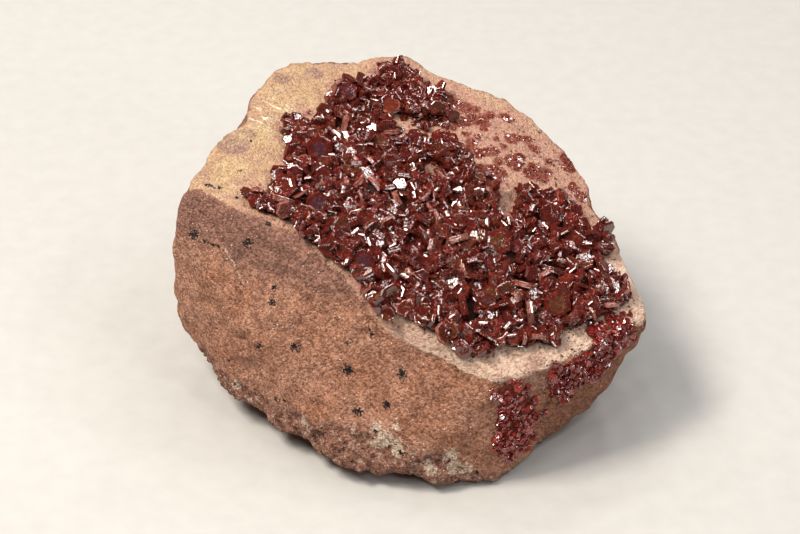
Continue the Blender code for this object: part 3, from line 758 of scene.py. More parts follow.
seam = node(tree, "Mix", {0: 0.5, 2: crumb, 3: patch}, data_type="FLOAT")
coated = zone(read["coat"], seam, 1.6, 0.4)
low_down = zone(read["foot"], crumb, 1.2, 0.8)
bleached = zone(read["bleached"], crumb, 2.0, 0.35)
lip = mask((across_x, -4.0, 4.0), (across_y, 0.0, -8.0), (read["coat"], 5.0, 3.5))
on_lip = mask(coated, lip)
worn_x = node(tree, "Math", (across_x, patch), operation="ADD")
from_glints = node(tree, "VectorMath", (ruler, GLINT_MIDDLE), out="Value", operation="DISTANCE")
crack_wander = node(tree, "Math", (crumb, 1.6, -0.8), operation="MULTIPLY_ADD")
crack_offset = node(tree, "Math", (read["crack"], crack_wander), operation="ADD")
from_crack = node(tree, "Math", (crack_offset,), operation="ABSOLUTE")
# Painted shade: dark dots in the pits of the foot, of the right side and of the bleached rubble.
shaded_pits = node(tree, "Math", (low_down, mask((across_x, 17.0, 21.0))), operation="MAXIMUM")
shaded_pits = node(tree, "Math", (shaded_pits, bleached), operation="MAXIMUM")
# A black mark: the distance in its own radii, less noise, so that it has ragged arms.
offset = node(tree, "Attribute", out="Vector", attribute_name="mark")
radii = node(tree, "VectorMath", (offset,), out="Value", operation="LENGTH")
armed = node(tree, "Math", (arms, -5.4, radii), operation="MULTIPLY_ADD")
print(len(tree.nodes), "nodes with the masks")

# %% The stone's colours
base = node(tree, "ValToRGB", (cloud,), stops=[(0.32, "#cb9274"), (0.68, "#deae96")])
speckle = node(tree, "ValToRGB", (grain,), stops=[(0.12, "#a89a92"), (0.48, "#d6cdc6"), (0.82, "#f4efea")])
speckled = (mask((coated, 0.0, 1.0, 1.0, 0.7)), mask(on_lip, 0.35))
speckled = node(tree, "Math", speckled, operation="SUBTRACT")
lines = node(tree, "ValToRGB", (streak,), stops=[(0.34, "#a48e80"), (0.60, "#ffffff")])
rusty = node(tree, "ValToRGB", (read["crack_near"],), stops=[(0.0, "#120e0f"), (1.0, "#46140f")])
base = laid_over(base, [
    # The broken faces, from large to small: darker clouds, painted shade on the undercut right side, the mauve
    # band, and the foot with its pale and dark rubble.
    (mask((patch, 0.40, 0.72, 0.0, 0.8)), "#a8775f"),
    # painted shade: the undercut right side is darker, as it lies in shade
    (mask((across_x, 15.0, 22.0, 0.0, 0.8)), "#a8745c"),
    (mask(zone(read["mauve"], patch, 3.0, 4.0), (patch, 0.3, 0.6, 0.6, 0.9)), "#a47c70"),
    (mask(low_down, (crumb, 0.4, 0.6, 0.5, 0.9)), "#a6786a"),
    (mask(low_down, (crumb, 0.54, 0.60)), "#d6bfae"),
    (mask(low_down, (patch, 0.46, 0.40)), "#8c5f50"),
    (mask((scratch, 0.60, 0.70, 0.0, 0.25)), "#ecc8b0"),
    # painted highlight: a pale line along the crack
    (mask((from_crack, 0.15, 0.05), read["crack_near"], (patch, 0.3, 0.5, 0.3, 1.0)), "#e8cbb6"),
    # The coat: cream on the left, worn to pink on the right and near its edge, mauve where it is thin, with
    # short white streaks of painted highlight, darker beside the crystals, and palest at the lip.
    (coated, "#d2b288"),
    (mask(coated, (worn_x, -12.0, -3.0)), "#c69b87"),
    (mask(coated, (read["coat"], 2.5, 0.4, 0.0, 0.35)), "#d2a488"),
    (mask(coated, (cloud, 0.46, 0.62, 0.0, 0.6)), "#c49c80"),
    (mask(coated, (patch, 0.48, 0.64, 0.0, 0.7)), "#bd9884"),
    (mask(coated, (read["outer"], 0.4, -0.2), (patch, 0.38, 0.46, 0.3, 1.0)), "#a98678"),
    (mask(coated, (cloud, 0.50, 0.36, 0.0, 0.5)), "#e0c898"),
    # painted highlights: short white streaks on the coat
    (mask(coated, (glint_streaks, 0.60, 0.66), (from_glints, 5.5, 3.5)), "#f6ecd2"),
    (mask(coated, (read["crystals"], -3.2, -0.8), (patch, 0.35, 0.6, 0.3, 0.9)), "#c89886"),
    (mask(on_lip, 0.8), "#f6d4bc"),
    # Small places: the worn lip, the bleached rubble, and the red ground under and round the crystals, with
    # painted shade where it lies deep under the main crust.
    (mask(read["pink"], (crumb, 0.35, 0.6, 0.6, 0.95)), "#c69c8a"),
    (bleached, "#f2e0cc"),
    (zone(read["crystals"], crumb, 0.8, 0.6), "#8a4432"),
    # painted shade: the ground deep inside the main crust, shaded by the crystals, is near black
    (mask((read["main"], 0.3, 1.2)), "#3a1610"),
    (mask(dots(0.55, 0.5), (read["crystals"], -2.6, -0.4)), "#8a4334"),
    # The sand's speckle and the break's streaks, and over them painted shade in the coat's folds and painted
    # highlights on its crests, pale grains lightened as painted glints, painted shade in pits, and marks.
    (speckled, speckle, "MULTIPLY"),
    (mask((coated, 0.0, 1.0, 0.55, 0.15)), lines, "MULTIPLY"),
    # painted shade in the troughs of the coat's wrinkles
    (mask(coated, (wrinkle, 0.46, 0.40), (lip, 0.0, 1.0, 0.12, 0.55)), "#9a6a54"),
    # painted highlight on the crests of the coat's wrinkles
    (mask(coated, (wrinkle, 0.54, 0.60), (lip, 0.0, 1.0, 0.05, 0.5)), "#f2dcc2"),
    # pale sand grains, lightened as painted glints
    (dots(0.22, 0.16), "#efdfd0"),
    # painted shade in the pits of the lip
    (mask(on_lip, (crumb, 0.42, 0.37, 0.0, 0.6)), "#8e6450"),
    # painted shade in the pits
    (mask(shaded_pits, (crumb, 0.41, 0.37)), "#3c241c"),
    (mask((armed, -1.66, -1.82), read["mark_near"]), rusty),
])  # fmt: skip
print(len(tree.nodes), "nodes with the colours")

# %% The stone's gloss and relief
# Broken faces have grains, crumbs and streaks that stand out. The coat has wrinkles, and crumbs at its lip.
broken = node(tree, "Math", (streak, 0.5, crumb), operation="MULTIPLY_ADD")
broken = node(tree, "Math", (hump, -0.4, broken), operation="MULTIPLY_ADD")
skin = node(tree, "Math", (wrinkle, 0.9, mask(hump, -0.4)), operation="MULTIPLY_ADD")
skin = node(tree, "Math", (crumb, mask((lip, 0.0, 1.0, 0.2, 1.6)), skin), operation="MULTIPLY_ADD")
relief = node(tree, "Mix", {0: coated, 2: broken, 3: skin}, data_type="FLOAT")
fill_sockets(shader, {
    "Base Color": base,
    "Roughness": mask((coated, 0.0, 1.0, 0.9, 0.6)),
    "Specular IOR Level": 0.35,
    "Normal": node(tree, "Bump", {"Height": relief, "Strength": 1.0, "Distance": 0.45 * MM}),
})  # fmt: skip
stone.data.materials.append(sandstone)
print(sandstone.name, "is on", stone.name)

# %% [markdown]
# ## A plate of vanadinite
#
# Vanadinite grows as hexagonal prisms. Here they are flat plates with narrow bevels between the flat ends
# and the six sides, and the sides carry fine growth steps. A plate is a profile, insets and heights from one
# end to the other, carried round a hexagon. Its six sides lie at slightly unequal distances from its axis,
# which keeps all angles at 120 degrees, as crystals do.


# %% Corners and faces of a plate
def hexagon(reach):
    """Corners (..., 6, 2) of a hexagon whose six sides lie at the distances reach (..., 6) from its middle.

    Side k faces 60 k degrees. Where sides k and k + 1 meet, the corner is (4/3) times
    (reach_k - reach_k+1 / 2) along side k's normal plus (reach_k+1 - reach_k / 2) along the next one's.
    """
    turns = np.radians(60) * np.arange(7)
    normals = np.column_stack([np.cos(turns), np.sin(turns)])
    following = np.roll(reach, -1, axis=-1)
    here = (reach - following / 2)[..., None] * normals[:6]
    there = (following - reach / 2)[..., None] * normals[1:]
    return (here + there) * 4 / 3


def plate_faces(rings):
    """Corners and sizes of one plate's faces: fans at both ends, and quads between the rings.

    Point 0 is the lower end's middle, point 1 the upper one's, and ring k is points 2 + 6k to 7 + 6k.
    """
    side = np.arange(6)
    following = (side + 1) % 6
    ring = 2 + 6 * np.arange(rings)[:, None]
    bottom = np.stack([np.zeros(6, int), ring[0] + following, ring[0] + side], axis=1)
    top = np.stack([np.ones(6, int), ring[-1] + side, ring[-1] + following], axis=1)
    walls = np.stack(
        [ring[:-1] + side, ring[:-1] + following, ring[1:] + following, ring[1:] + side], axis=-1
    ).reshape(-1, 4)
    loops = np.concatenate([bottom.ravel(), top.ravel(), walls.ravel()])
    return loops, np.array([3] * 12 + [4] * len(walls))


print("a hexagon's first corner, for sides 1 mm away:", hexagon(np.ones(6))[0].round(3))


# %% Many plates at once
UNEVEN = (0.86, 1.08)  # how far each side lies from the axis, as a share of a regular hexagon's
WOBBLE = 0.35  # how much a step's inset differs from plate to plate, as a share of it


def plate_mesh(middles, frames, radius, thickness, profile, rng):
    """Points, loops, sizes and attributes of many plates with one profile.

    profile lists (inset, height) from end to end, the inset as a share of the radius and the height from -1
    to 1 as a share of half the thickness. tone is a random number of the plate's own, cap is 1 on an end's
    face, and growth is a place on the face, in mm: along its edge or outwards, and along the axis.
    """
    count, rings = len(middles), len(profile)
    inset, height = np.array(profile).T
    sides = radius[:, None] * math.cos(math.pi / 6) * rng.uniform(*UNEVEN, (count, 6))
    wobble = 1 + WOBBLE * rng.uniform(-1, 1, (count, rings)) * (abs(height) < 0.99)
    reach = sides[:, None, :] - (inset * wobble * radius[:, None])[:, :, None]
    local = np.zeros((count, 2 + 6 * rings, 3))
    local[:, 0, 2], local[:, 1, 2] = -thickness / 2, thickness / 2
    corners = np.zeros((count, rings, 6, 3))
    corners[..., :2] = hexagon(reach)
    corners[..., 2] = (height * thickness[:, None] / 2)[:, :, None]
    local[:, 2:] = corners.reshape(count, -1, 3)
    points = middles[:, None] + np.einsum("nij,nkj->nki", frames, local)
    loops, sizes = plate_faces(rings)
    across = np.linalg.norm(local[..., :2], axis=-1) / radius[:, None]
    turn = np.arctan2(local[..., 1], local[..., 0]) * radius[:, None]
    growth = np.stack([turn, across, local[..., 2]], axis=-1) + rng.uniform(0, 99, (count, 1, 1)) * (1, 0, 1)
    tone = np.repeat(rng.uniform(0, 1, count), len(sizes))
    cap = np.tile(np.arange(len(sizes)) < 12, count)
    offsets = np.arange(count)[:, None] * local.shape[1]
    return {
        "points": points.reshape(-1, 3),
        "loops": (loops + offsets).ravel(),
        "sizes": np.tile(sizes, count),
        "tone": tone,
        "cap": cap.astype(float),
        "growth": growth.reshape(-1, 3),
    }


# The larger the plate, the more of its growth steps can be seen.
STEPPED = [
    (0.30, -0.94), (0.26, -1.0), (0.07, -0.98), (0.0, -0.72), (0.025, -0.3), (0.0, -0.1),
    (0.03, 0.25), (0.0, 0.68), (0.07, 0.98), (0.26, 1.0), (0.30, 0.94),
]  # fmt: skip
BEVELLED = [(0.10, -1.0), (0.0, -0.70), (0.02, 0.1), (0.0, 0.70), (0.10, 1.0)]
PLAIN = [(0.12, -1.0), (0.0, -0.7), (0.0, 0.7), (0.12, 1.0)]
GRAIN_SHAPE = [(0.04, -1.0), (0.0, 1.0)]
print("faces a plate:", [6 + 6 * len(profile) for profile in (STEPPED, BEVELLED, PLAIN, GRAIN_SHAPE)])

# %% [markdown]
# ## Where the plates stand
#
# The large plates are the solid's own, found again by the same steps and the same random numbers. Smaller
# ones fill the spaces between them. Rays spread evenly by the golden angle find points of the stone inside
# an outline, and one is kept in each small cube of space, which spaces the crystals without any order.

# %% The large plates' sizes and places
LARGE = (0.9, 3.5, (2.6, 4.6))  # ground height, spacing, and range of diameters, in mm
PLATE_THICKNESS = (0.26, 0.42)  # as a share of the diameter
PLATE_TILT = (20.0, 85.0)  # degrees between a plate's axis and the block's normal
PLATE_PROUD = (0.1, 0.45)  # how far its middle is over the ground, as a share of its half height
RAYS = 24000  # that find the solid's plates
FINE_RAYS = 240000  # and the smaller ones
# Middle seen from above, width, depth, axis, and tone, which is its colour from 0 to 1, or 2 for grey. The
# purple of tones near 0.9 and the grey are painted reflections on a face.
LARGE_PLATES = {
    "purple_face": ((-11.7, 4.5), 4.4, 1.3, (-0.15, -0.85, 0.5), 0.9),
    "left_end": ((-17.6, -5.6), 4.8, 1.2, (-0.1, -0.5, 0.85), 0.0),
    "left_dark": ((-12.4, -7.8), 3.6, 1.1, (0.25, -0.8, 0.55), 0.9),
    "front_rim_face": ((-5.2, -16.5), 3.4, 1.1, (-0.2, -0.85, 0.5), 0.9),
    "brown_plate": ((14.3, -8.7), 4.6, 1.2, (0.05, -0.6, 0.8), 0.36),
    "small_brown": ((12.8, -18.7), 3.2, 1.0, (0.0, -0.6, 0.8), 0.36),
    "tall_plate": ((22.3, -2.2), 4.4, 1.2, (0.2, -0.85, 0.5), 0.02),
    "right_brown": ((22.3, -18.2), 4.4, 1.3, (0.1, -0.7, 0.7), 0.36),
    "right_edge": ((27.0, -9.8), 3.2, 1.0, (-0.2, -0.7, 0.7), 0.34),
    "back_dark": ((-8.5, 19.0), 3.6, 1.1, (0.1, -0.7, 0.7), 0.92),
    "back_upright": ((-8.4, 10.7), 3.0, 0.9, (-1.0, 0.1, 0.15), 0.268),
    "middle_upright": ((-0.6, -3.6), 3.2, 0.9, (0.9, 0.25, 0.35), 0.268),
    "middle_slanting": ((-4.0, -1.4), 3.0, 0.9, (0.8, 0.35, 0.5), 0.268),
    "left_flat": ((-17.2, -8.2), 4.0, 0.9, (0.3, 0.55, 0.8), 0.268),
    "middle_flat": ((8.2, -9.6), 3.8, 1.0, (-0.25, 0.55, 0.8), 0.268),
    "front_flat": ((-1.3, -14.1), 3.2, 0.9, (-0.3, 0.55, 0.8), 0.5),
    "right_upright": ((18.2, -20.6), 4.0, 1.0, (1.0, 0.05, 0.1), 0.268),
    "right_flat": ((18.0, -15.8), 3.6, 0.9, (0.25, 0.55, 0.8), 0.405),
    "front_upright": ((8.8, -21.0), 4.6, 1.1, (1.0, 0.1, 0.15), 2.0),
    "grey_upright": ((17.3, -11.0), 3.0, 1.1, (-0.9, 0.25, 0.35), 2.0),
    "right_ledge": ((22.0, -12.2), 3.4, 0.9, (0.3, 0.55, 0.8), 0.2),
}
print(len(LARGE_PLATES), "plates have a place of their own")


# %% Points on the block
def golden_rays(count):
    """Directions spread evenly over the ball: equal steps of height, each turned by the golden angle."""
    turn = np.arange(count) * math.pi * (3 - math.sqrt(5))
    height = 1 - (np.arange(count) + 0.5) * 2 / count
    ring = np.sqrt(1 - height**2)
    return np.column_stack([ring * np.cos(turn), ring * np.sin(turn), height])


def scatter(outline, axes, spacing, rng, named):
    """Points of the block inside an outline, at least spacing apart, and the block's normals there.

    The first ones are the named plates' places.
    """
    rays = golden_rays(RAYS)
    points = block_surface(rays)
    facing = points[:, 2] if axes == FROM_ABOVE else -points[:, 1]
    chosen = inside(points[:, list(axes)], outline) & (facing > STARTS[axes])
    points, rays = points[chosen], rays[chosen]
    kept = [int(np.linalg.norm(points[:, list(axes)] - where, axis=1).argmin()) for where, *_ in named]
    for candidate in rng.permutation(len(points)):
        gaps = np.linalg.norm(points[kept] - points[candidate], axis=1)
        if gaps.min(initial=math.inf) > spacing:
            kept.append(candidate)
    return points[kept], surface_normals(rays[kept])


FINE_DIRECTIONS = golden_rays(FINE_RAYS)
FINE_POINTS = stone_surface(FINE_DIRECTIONS)
WANDER = rough(FINE_POINTS, 1.6, 61)


def fill(margin, spacing, ragged, rng):
    """Points of the fine stone where margin is above 0, one in each cube of side spacing, and normals.

    margin is a signed distance for each of FINE_POINTS. It wanders by ragged mm of noise, so that the
    crystals end as raggedly as they grew.
    """
    found = rng.permutation(np.flatnonzero(margin + ragged * WANDER > 0))
    cubes = np.floor(FINE_POINTS[found] / spacing).astype(int)
    _, first = np.unique(cubes, axis=0, return_index=True)
    kept = found[first]
    return FINE_POINTS[kept], surface_normals(FINE_DIRECTIONS[kept])


low, high = FINE_POINTS.min(axis=0), FINE_POINTS.max(axis=0)
print("the fine stone reaches from", low.round(1), "to", high.round(1), "mm")


# %% Turn and size the plates
def plates(
    points, normals, ground, diameter, rng, named=(),
    share=PLATE_THICKNESS, tilts=PLATE_TILT, proud=PLATE_PROUD,
):  # fmt: skip
    """Middles, frames, radii and thicknesses of the hexagonal plates that grow at the points.

    A frame's columns are two ways across the plate and its axis.
    """
    count = len(points)
    radius = rng.uniform(*diameter, count) / 2
    thickness = 2 * radius * rng.uniform(*share, count)
    tilt = np.radians(rng.uniform(*tilts, count))[:, None]
    heading, roll = rng.uniform(0, 2 * math.pi, (2, count, 1))
    proud = rng.uniform(*proud, count)
    level, slope = tangents(normals)
    axes = np.cos(tilt) * normals + np.sin(tilt) * (np.cos(heading) * level + np.sin(heading) * slope)
    for index, (_, width, depth, axis, _) in enumerate(named):
        radius[index], thickness[index], axes[index] = width / 2, depth, unit(np.array(axis))
    upright = (axes * normals).sum(axis=1)
    half_height = radius * np.sqrt(1 - upright**2) + thickness / 2 * abs(upright)
    middles = points + normals * (ground + proud * half_height)[:, None]
    side, other = tangents(axes)
    across = np.cos(roll) * side + np.sin(roll) * other
    return middles, np.stack([across, np.cross(axes, across), axes], axis=2), radius, thickness


def joined(meshes):
    """One mesh of several: their arrays end to end, with each one's corners counted on from the last."""
    starts = np.cumsum([0] + [len(mesh["points"]) for mesh in meshes[:-1]])
    for mesh, start in zip(meshes, starts):
        mesh["loops"] = mesh["loops"] + start
    return {key: np.concatenate([mesh[key] for mesh in meshes]) for key in meshes[0]}


# %% [markdown]
# ## Grow the crusts
#
# A crust of one size of crystal looks like gravel. A real one has a few large plates, more of middle size
# and very many small ones, so each crust here is grown in generations, each smaller and lower than the one
# before. Smaller crystals keep clear of the faces of the plates that have a place of their own.

# %% Generations
# Spacing and ground height in mm, and ranges of diameter in mm, thickness as a share of it, tilt in degrees,
# and how proud of the ground, then the profile.
MAIN_PLATES = [
    (2.1, 0.75, (1.9, 3.2), (0.16, 0.30), (20, 85), (0.2, 0.8), BEVELLED),
    (1.5, 0.70, (1.4, 2.6), (0.12, 0.26), (5, 60), (0.3, 1.0), PLAIN),
    (1.0, 0.50, (0.8, 1.6), (0.14, 0.34), (10, 90), (0.3, 1.2), PLAIN),
]
MAIN_GRAINS = [
    (0.82, 0.45, (0.4, 1.1), (0.2, 0.5), (0, 75), (0.3, 1.6), GRAIN_SHAPE),
    (0.68, 0.10, (0.4, 0.8), (0.2, 0.5), (0, 90), (0.3, 1.5), GRAIN_SHAPE),
]
SIDE_FILL = [
    (1.2, 0.05, (0.7, 1.4), (0.12, 0.3), (0, 80), (0.0, 0.7), PLAIN),
    (0.7, 0.05, (0.3, 0.9), (0.2, 0.4), (0, 90), (0.0, 0.9), GRAIN_SHAPE),
    (0.45, 0.0, (0.2, 0.5), (0.2, 0.6), (0, 90), (0.0, 1.2), GRAIN_SHAPE),
]
FLAT_FILL = [
    (1.1, -0.12, (0.6, 1.1), (0.14, 0.25), (0, 20), (0.0, 0.6), PLAIN),
    (0.8, -0.08, (0.3, 0.6), (0.2, 0.4), (0, 40), (0.0, 0.6), GRAIN_SHAPE),
]
THIN_FILL = [
    (1.0, 0.10, (0.6, 1.3), (0.14, 0.3), (0, 60), (0.0, 0.6), PLAIN),
    (0.6, 0.05, (0.3, 0.8), (0.2, 0.5), (0, 90), (0.0, 0.8), GRAIN_SHAPE),
]
SHRINK = 0.8  # the unnamed large plates are a little smaller than the solid's, and smaller ones hide the rest
SHRINK_MORE = 0.4  # and in a thin place
CLEAR = 1.3  # mm in front of a named plate's face that the smaller ones leave free
CLEAR_ROUND = 0.4  # and mm round its rim
# Ranges of tones: crimson, brighter crimson, brick red, and dark red to brown.
REDDER, BRIGHTER, BRICK, DARKER = (0.70, 0.82), (0.76, 0.84), (0.54, 0.66), (0.0, 0.5)


def large_plates():
    """The solid's own large plates, of which the unnamed ones are shrunk: middles, frames, radii, depths."""
    rng = np.random.default_rng(sum(b"crystal_crust"))
    ground, spacing, diameter = LARGE
    named = LARGE_PLATES.values()
    points, normals = scatter(MAIN_OUTLINE, FROM_ABOVE, spacing, rng, named)
    middles, frames, radius, thickness = plates(points, normals, ground, diameter, rng, named)
    less = np.where(in_spots(points, THIN) > 0, SHRINK_MORE, SHRINK)
    less[: len(named)] = 1.0
    middles -= normals * ((1 - less) * radius)[:, None]
    radius *= less
    thickness *= less
    return middles, frames, radius, thickness


LARGE_ONES = large_plates()
SHOWN = [values[: len(LARGE_PLATES)] for values in LARGE_ONES]
print(len(LARGE_ONES[0]), "large plates")


# %% Grow one crust
def beside(middles, large):
    """Which middles don't lie in a large plate or before its face: a distance along and off its axis."""
    free = np.ones(len(middles), bool)
    for middle, frame, radius, thickness in zip(*large):
        local = (middles - middle) @ frame
        along, off = local[:, 2], np.linalg.norm(local[:, :2], axis=1)
        before = (along > -thickness / 2) & (along < thickness / 2 + CLEAR) & (off < 0.9 * radius)
        around = (abs(along) < thickness / 2 + CLEAR_ROUND) & (off < radius + CLEAR_ROUND)
        free &= ~before & ~around
    return free


def grow(name, replaced, margin, generations, seed, ragged=0.5, tones=(0.0, 1.0), first=()):
    """A crust: first, a list of finished meshes, and then each generation where margin is above 0."""
    rng = np.random.default_rng(seed)
    meshes = list(first)
    for spacing, ground, diameter, share, tilts, proud, profile in generations:
        points, normals = fill(margin, spacing, ragged, rng)
        grown = plates(points, normals, ground, diameter, rng, share=share, tilts=tilts, proud=proud)
        free = beside(grown[0], SHOWN)
        added = plate_mesh(*(values[free] for values in grown), profile, rng)
        added["tone"] = tones[0] + (tones[1] - tones[0]) * added["tone"]
        meshes.append(added)
    crust = joined(meshes)
    shape = (crust.pop("points"), crust.pop("loops"), crust.pop("sizes"))
    return new_piece(name, *shape, "vanadinite", replaced, crust)


# %% The main crust
first = plate_mesh(*LARGE_ONES, STEPPED, np.random.default_rng(9))
faces_each = len(first["tone"]) // len(LARGE_ONES[0])
named_tones = np.repeat([tone for *_, tone in LARGE_PLATES.values()], faces_each)
first["tone"] *= DARKER[1]
first["tone"][: len(named_tones)] = named_tones
main_margin = in_main_crust(FINE_POINTS)
thin = in_spots(FINE_POINTS, THIN)
thick_margin, thin_margin = np.minimum(main_margin, -thin), np.minimum(main_margin, thin)
crusts = [
    grow("vanadinite_crust", ["crystal_crust"], thick_margin, MAIN_PLATES, 1, tones=DARKER, first=[first]),
    grow("vanadinite_grains", [], thick_margin, MAIN_GRAINS, 21, tones=DARKER),
]

# %% Its thin places, and the crusts beside it
CORNER_HELD, WALL_HELD = 1.3, 0.8  # mm: a margin held low leaves holes in a crust's middle too
corner_margin = np.minimum(in_outline(FINE_POINTS, CORNER_OUTLINE, FROM_FRONT), CORNER_HELD)
wall_margin = np.minimum(in_outline(FINE_POINTS, WALL_OUTLINE, FROM_FRONT), WALL_HELD)
crusts += [
    grow("corner_vanadinite", ["corner_crust"], corner_margin, SIDE_FILL, 2, 1.5, BRIGHTER),
    grow("wall_vanadinite", ["wall_crust"], wall_margin, SIDE_FILL, 3, 1.5, REDDER),
    grow("thin_vanadinite", [], thin_margin, THIN_FILL, 22, 0.3, DARKER),
    grow("saddle_vanadinite", [], in_spots(FINE_POINTS, SADDLE), SIDE_FILL, 4, 1.0, REDDER),
]
flat_margin = in_spots(FINE_POINTS, FLAT_PATCHES)
for number, cluster in enumerate(BACK_CLUSTERS, start=1):
    margin = np.minimum(in_spots(FINE_POINTS, [cluster]), flat_margin)
    stood_for = [f"back_cluster_{number}"]
    crusts.append(grow(f"back_vanadinite_{number}", stood_for, margin, FLAT_FILL, 4 + number, 0.3, BRICK))
between_clusters = np.minimum(flat_margin, -in_spots(FINE_POINTS, BACK_CLUSTERS))
crusts.append(grow("scattered_vanadinite", [], between_clusters, FLAT_FILL, 20, 0.3, BRICK))

# %% [markdown]
# ## Vanadinite
#
# Deep red, heavy and clear only in thin splinters. Its refractive index of 2.35 to 2.42 is as high as
# diamond's, so each face is a small mirror, and light that gets in is soaked up within a millimetre: faces
# look dark brown red, thin edges glow red, and the striped sides scatter a paler pink. Here the glow of the
# thin rims is painted, as a brighter red. Plates differ, so a random tone gives each its own colour: dark
# reds and a wine brown up to 0.5, brick red to 0.66, crimson to 0.84, purple above, and grey over 1. The
# purple and the grey are painted reflections on a face.

# %% The crystals' colours
vanadinite, tree, shader, ruler = new_material("vanadinite")
tone, cap = (node(tree, "Attribute", out="Fac", attribute_name=key) for key in ("tone", "cap"))
growth = node(tree, "Attribute", out="Vector", attribute_name="growth")
across = node(tree, "SeparateXYZ", (growth,), out="Y")
clouds = node(tree, "TexNoise", {"Vector": ruler, "Scale": 1 / 0.6, "Detail": 4.0, "Roughness": 0.7})
# Growth steps stripe the sides along the plate's edge: 0.1 mm apart, and long.
stripes = node(tree, "Mapping", {"Vector": growth, "Scale": (0.7, 0.0, 9.0)})
stripe = node(tree, "TexNoise", {"Vector": stripes, "Scale": 1.0, "Detail": 3.0, "Roughness": 0.7})
# Tones from 0.88 up are purple: a painted reflection on a face.
face = node(tree, "ValToRGB", (tone,), stops=[
    (0.0, "#6c261c"), (0.2, "#7e2a20"), (0.36, "#6c3c26"), (0.46, "#6a2a28"), (0.54, "#88372c"),
    (0.66, "#94492e"), (0.70, "#98261f"), (0.84, "#bc463a"), (0.88, "#66363c"), (1.0, "#60323a"),
])  # fmt: skip
face = laid_over(face, [
    # painted reflection: grey on the plates whose tone is 2
    (mask((tone, 1.2, 1.4)), "#4c484c"),
    (mask((across, 0.5, 1.0, 0.0, 0.2)), "#a83018"),  # painted glow: the thin rim is painted brighter red, as light shines through it
    (mask((clouds, 0.60, 0.70), 0.45), "#c07a60"),  # veils of tiny cracks
])  # fmt: skip
deep = node(tree, "ValToRGB", (stripe,), stops=[(0.35, "#561610"), (0.70, "#86301f")])
pale = node(tree, "ValToRGB", (stripe,), stops=[(0.35, "#7c2e24"), (0.52, "#b56a5a"), (0.70, "#e0b4a4")])
lot = node(tree, "Math", (mask(tone, 7.3),), operation="FRACT")  # one plate in twelve has pale sides
side = laid_over(deep, [
    (mask((lot, 0.91, 0.93)), pale),
    (mask((tone, 0.67, 0.69), (tone, 0.87, 0.85), 0.6), "#942420"),
])  # fmt: skip
base = laid_over(side, [(cap, face)])
print(len(tree.nodes), "nodes make the crystals' colours")

# %% The crystals' gloss
# Faces are smooth and bright, with shallow pocks of about half a millimetre and the sides' stripes.
pock = node(tree, "TexNoise", {"Vector": ruler, "Scale": 1 / 0.45, "Detail": 2.0})
uneven = node(tree, "Math", (stripe, 0.5, pock), operation="MULTIPLY_ADD")
fill_sockets(shader, {
    "Base Color": base,
    "Roughness": mask((clouds, 0.3, 0.7, 0.03, 0.12)),
    "Transmission Weight": mask((clouds, 0.4, 0.65, 0.6, 0.15)),
    "IOR": 2.2,
    "Specular IOR Level": 0.22,
    "Normal": node(tree, "Bump", {"Height": uneven, "Strength": 1.0, "Distance": 0.035 * MM}),
})  # fmt: skip
for crust in crusts:
    crust.data.materials.append(vanadinite)
print(vanadinite.name, "is on", len(crusts), "crusts")

# %% [markdown]
# ## A table, studio light and the camera
#
# The stone stands on a plain pale table. One large soft light from the upper left shapes it, and a weak one
# from the right fills the shadows. A ring of small soft lamps above puts sparks on the crystals: a smooth
# face shows a lamp only where it mirrors it, so many small lamps give many small sparks.

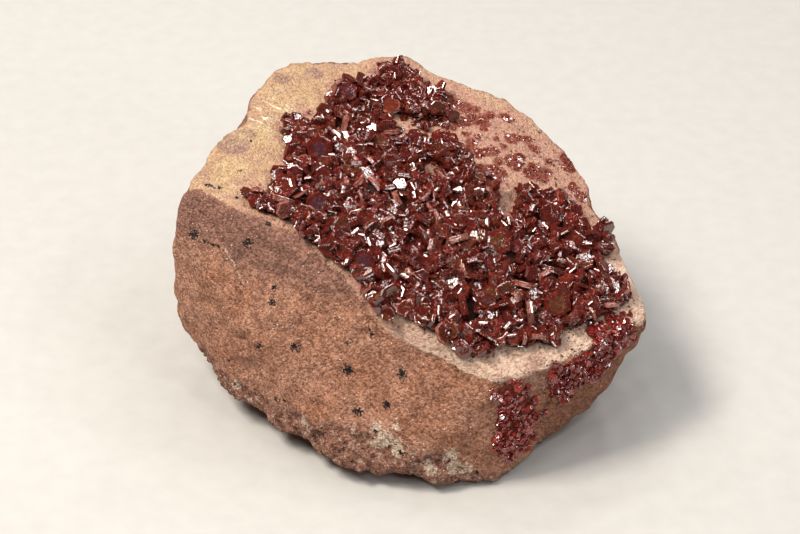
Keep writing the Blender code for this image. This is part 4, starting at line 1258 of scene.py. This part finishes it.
# %% Table
TABLE_REACH = 2  # metres from the middle to each edge
TARGET = Vector(place((0.0, 0.0, 16.0)))  # what the lamps and the camera face
table_mesh = bpy.data.meshes.new("table")
corners = [(x * TABLE_REACH, y * TABLE_REACH, 0) for x, y in ((-1, -1), (1, -1), (1, 1), (-1, 1))]
table_mesh.from_pydata(corners, [], [(0, 1, 2, 3)])
table = bpy.data.objects.new("table", table_mesh)
bpy.context.scene.collection.objects.link(table)
paper, tree, shader, ruler = new_material("matt paper")
fibre = node(tree, "TexNoise", {"Vector": ruler, "Scale": 1 / 3.0, "Detail": 4.0})
tint = node(tree, "ValToRGB", (fibre,), stops=[(0.3, "#bbb8b3"), (0.7, "#c0bdb8")])
fill_sockets(shader, {"Base Color": tint, "Roughness": 0.9})
table.data.materials.append(paper)
print(table.name, "is", 2 * TABLE_REACH, "m wide")


# %% Lights
def area_light(name, way, distance, size, watts, tint="#ffffff"):
    """A square lamp of a size, at a distance from TARGET along way, facing it."""
    lamp = bpy.data.lights.new(name, "AREA")
    lamp.size, lamp.energy, lamp.color = size, watts, colour(tint)[:3]
    made = bpy.data.objects.new(name, lamp)
    bpy.context.scene.collection.objects.link(made)
    made.rotation_mode = "QUATERNION"
    made.location = TARGET + Vector(way).normalized() * distance
    made.rotation_quaternion = Vector(way).to_track_quat("Z", "Y")
    return made


area_light("key", (-0.50, -0.12, 0.86), distance=0.60, size=0.18, watts=3.6, tint="#fff6ea")
area_light("fill", (0.8, -0.7, 0.45), distance=0.80, size=0.18, watts=1.2)
RING = 16  # places for small lamps
LEFT_OUT = 13  # the one where the large brown plates would mirror a lamp whole
for number in range(RING):
    turn = 2 * math.pi * number / RING
    way = (math.cos(turn), math.sin(turn), 1.1 + 0.3 * (number % 3))
    if number != LEFT_OUT:
        area_light(f"small {number}", way, distance=0.55, size=0.06, watts=0.23)
world = bpy.data.worlds.new("studio")
world.use_nodes = True
fill_sockets(world.node_tree.nodes["Background"], {"Color": colour("#8c8f94"), "Strength": 0.18})
bpy.context.scene.world = world
bpy.context.scene.view_settings.view_transform = "Standard"
print(len(bpy.data.lights), "lamps")

# %% Camera
CAMERA_HEIGHT_DEG = 35  # how far above the table's plane it looks down from
CAMERA_DISTANCE = 0.34
camera = bpy.data.objects.new("camera", bpy.data.cameras.new("camera"))
bpy.context.scene.collection.objects.link(camera)
camera.data.lens, camera.data.sensor_width, camera.data.clip_start = 100, 36, 0.01
lift = math.radians(CAMERA_HEIGHT_DEG)
back_to_camera = Vector((0, -math.cos(lift), math.sin(lift)))
camera.location = TARGET + back_to_camera * CAMERA_DISTANCE
camera.rotation_mode = "QUATERNION"
camera.rotation_quaternion = (-back_to_camera).to_track_quat("-Z", "Y")
bpy.context.scene.camera = camera
print("the camera is at", [round(part, 3) for part in camera.location], "m")
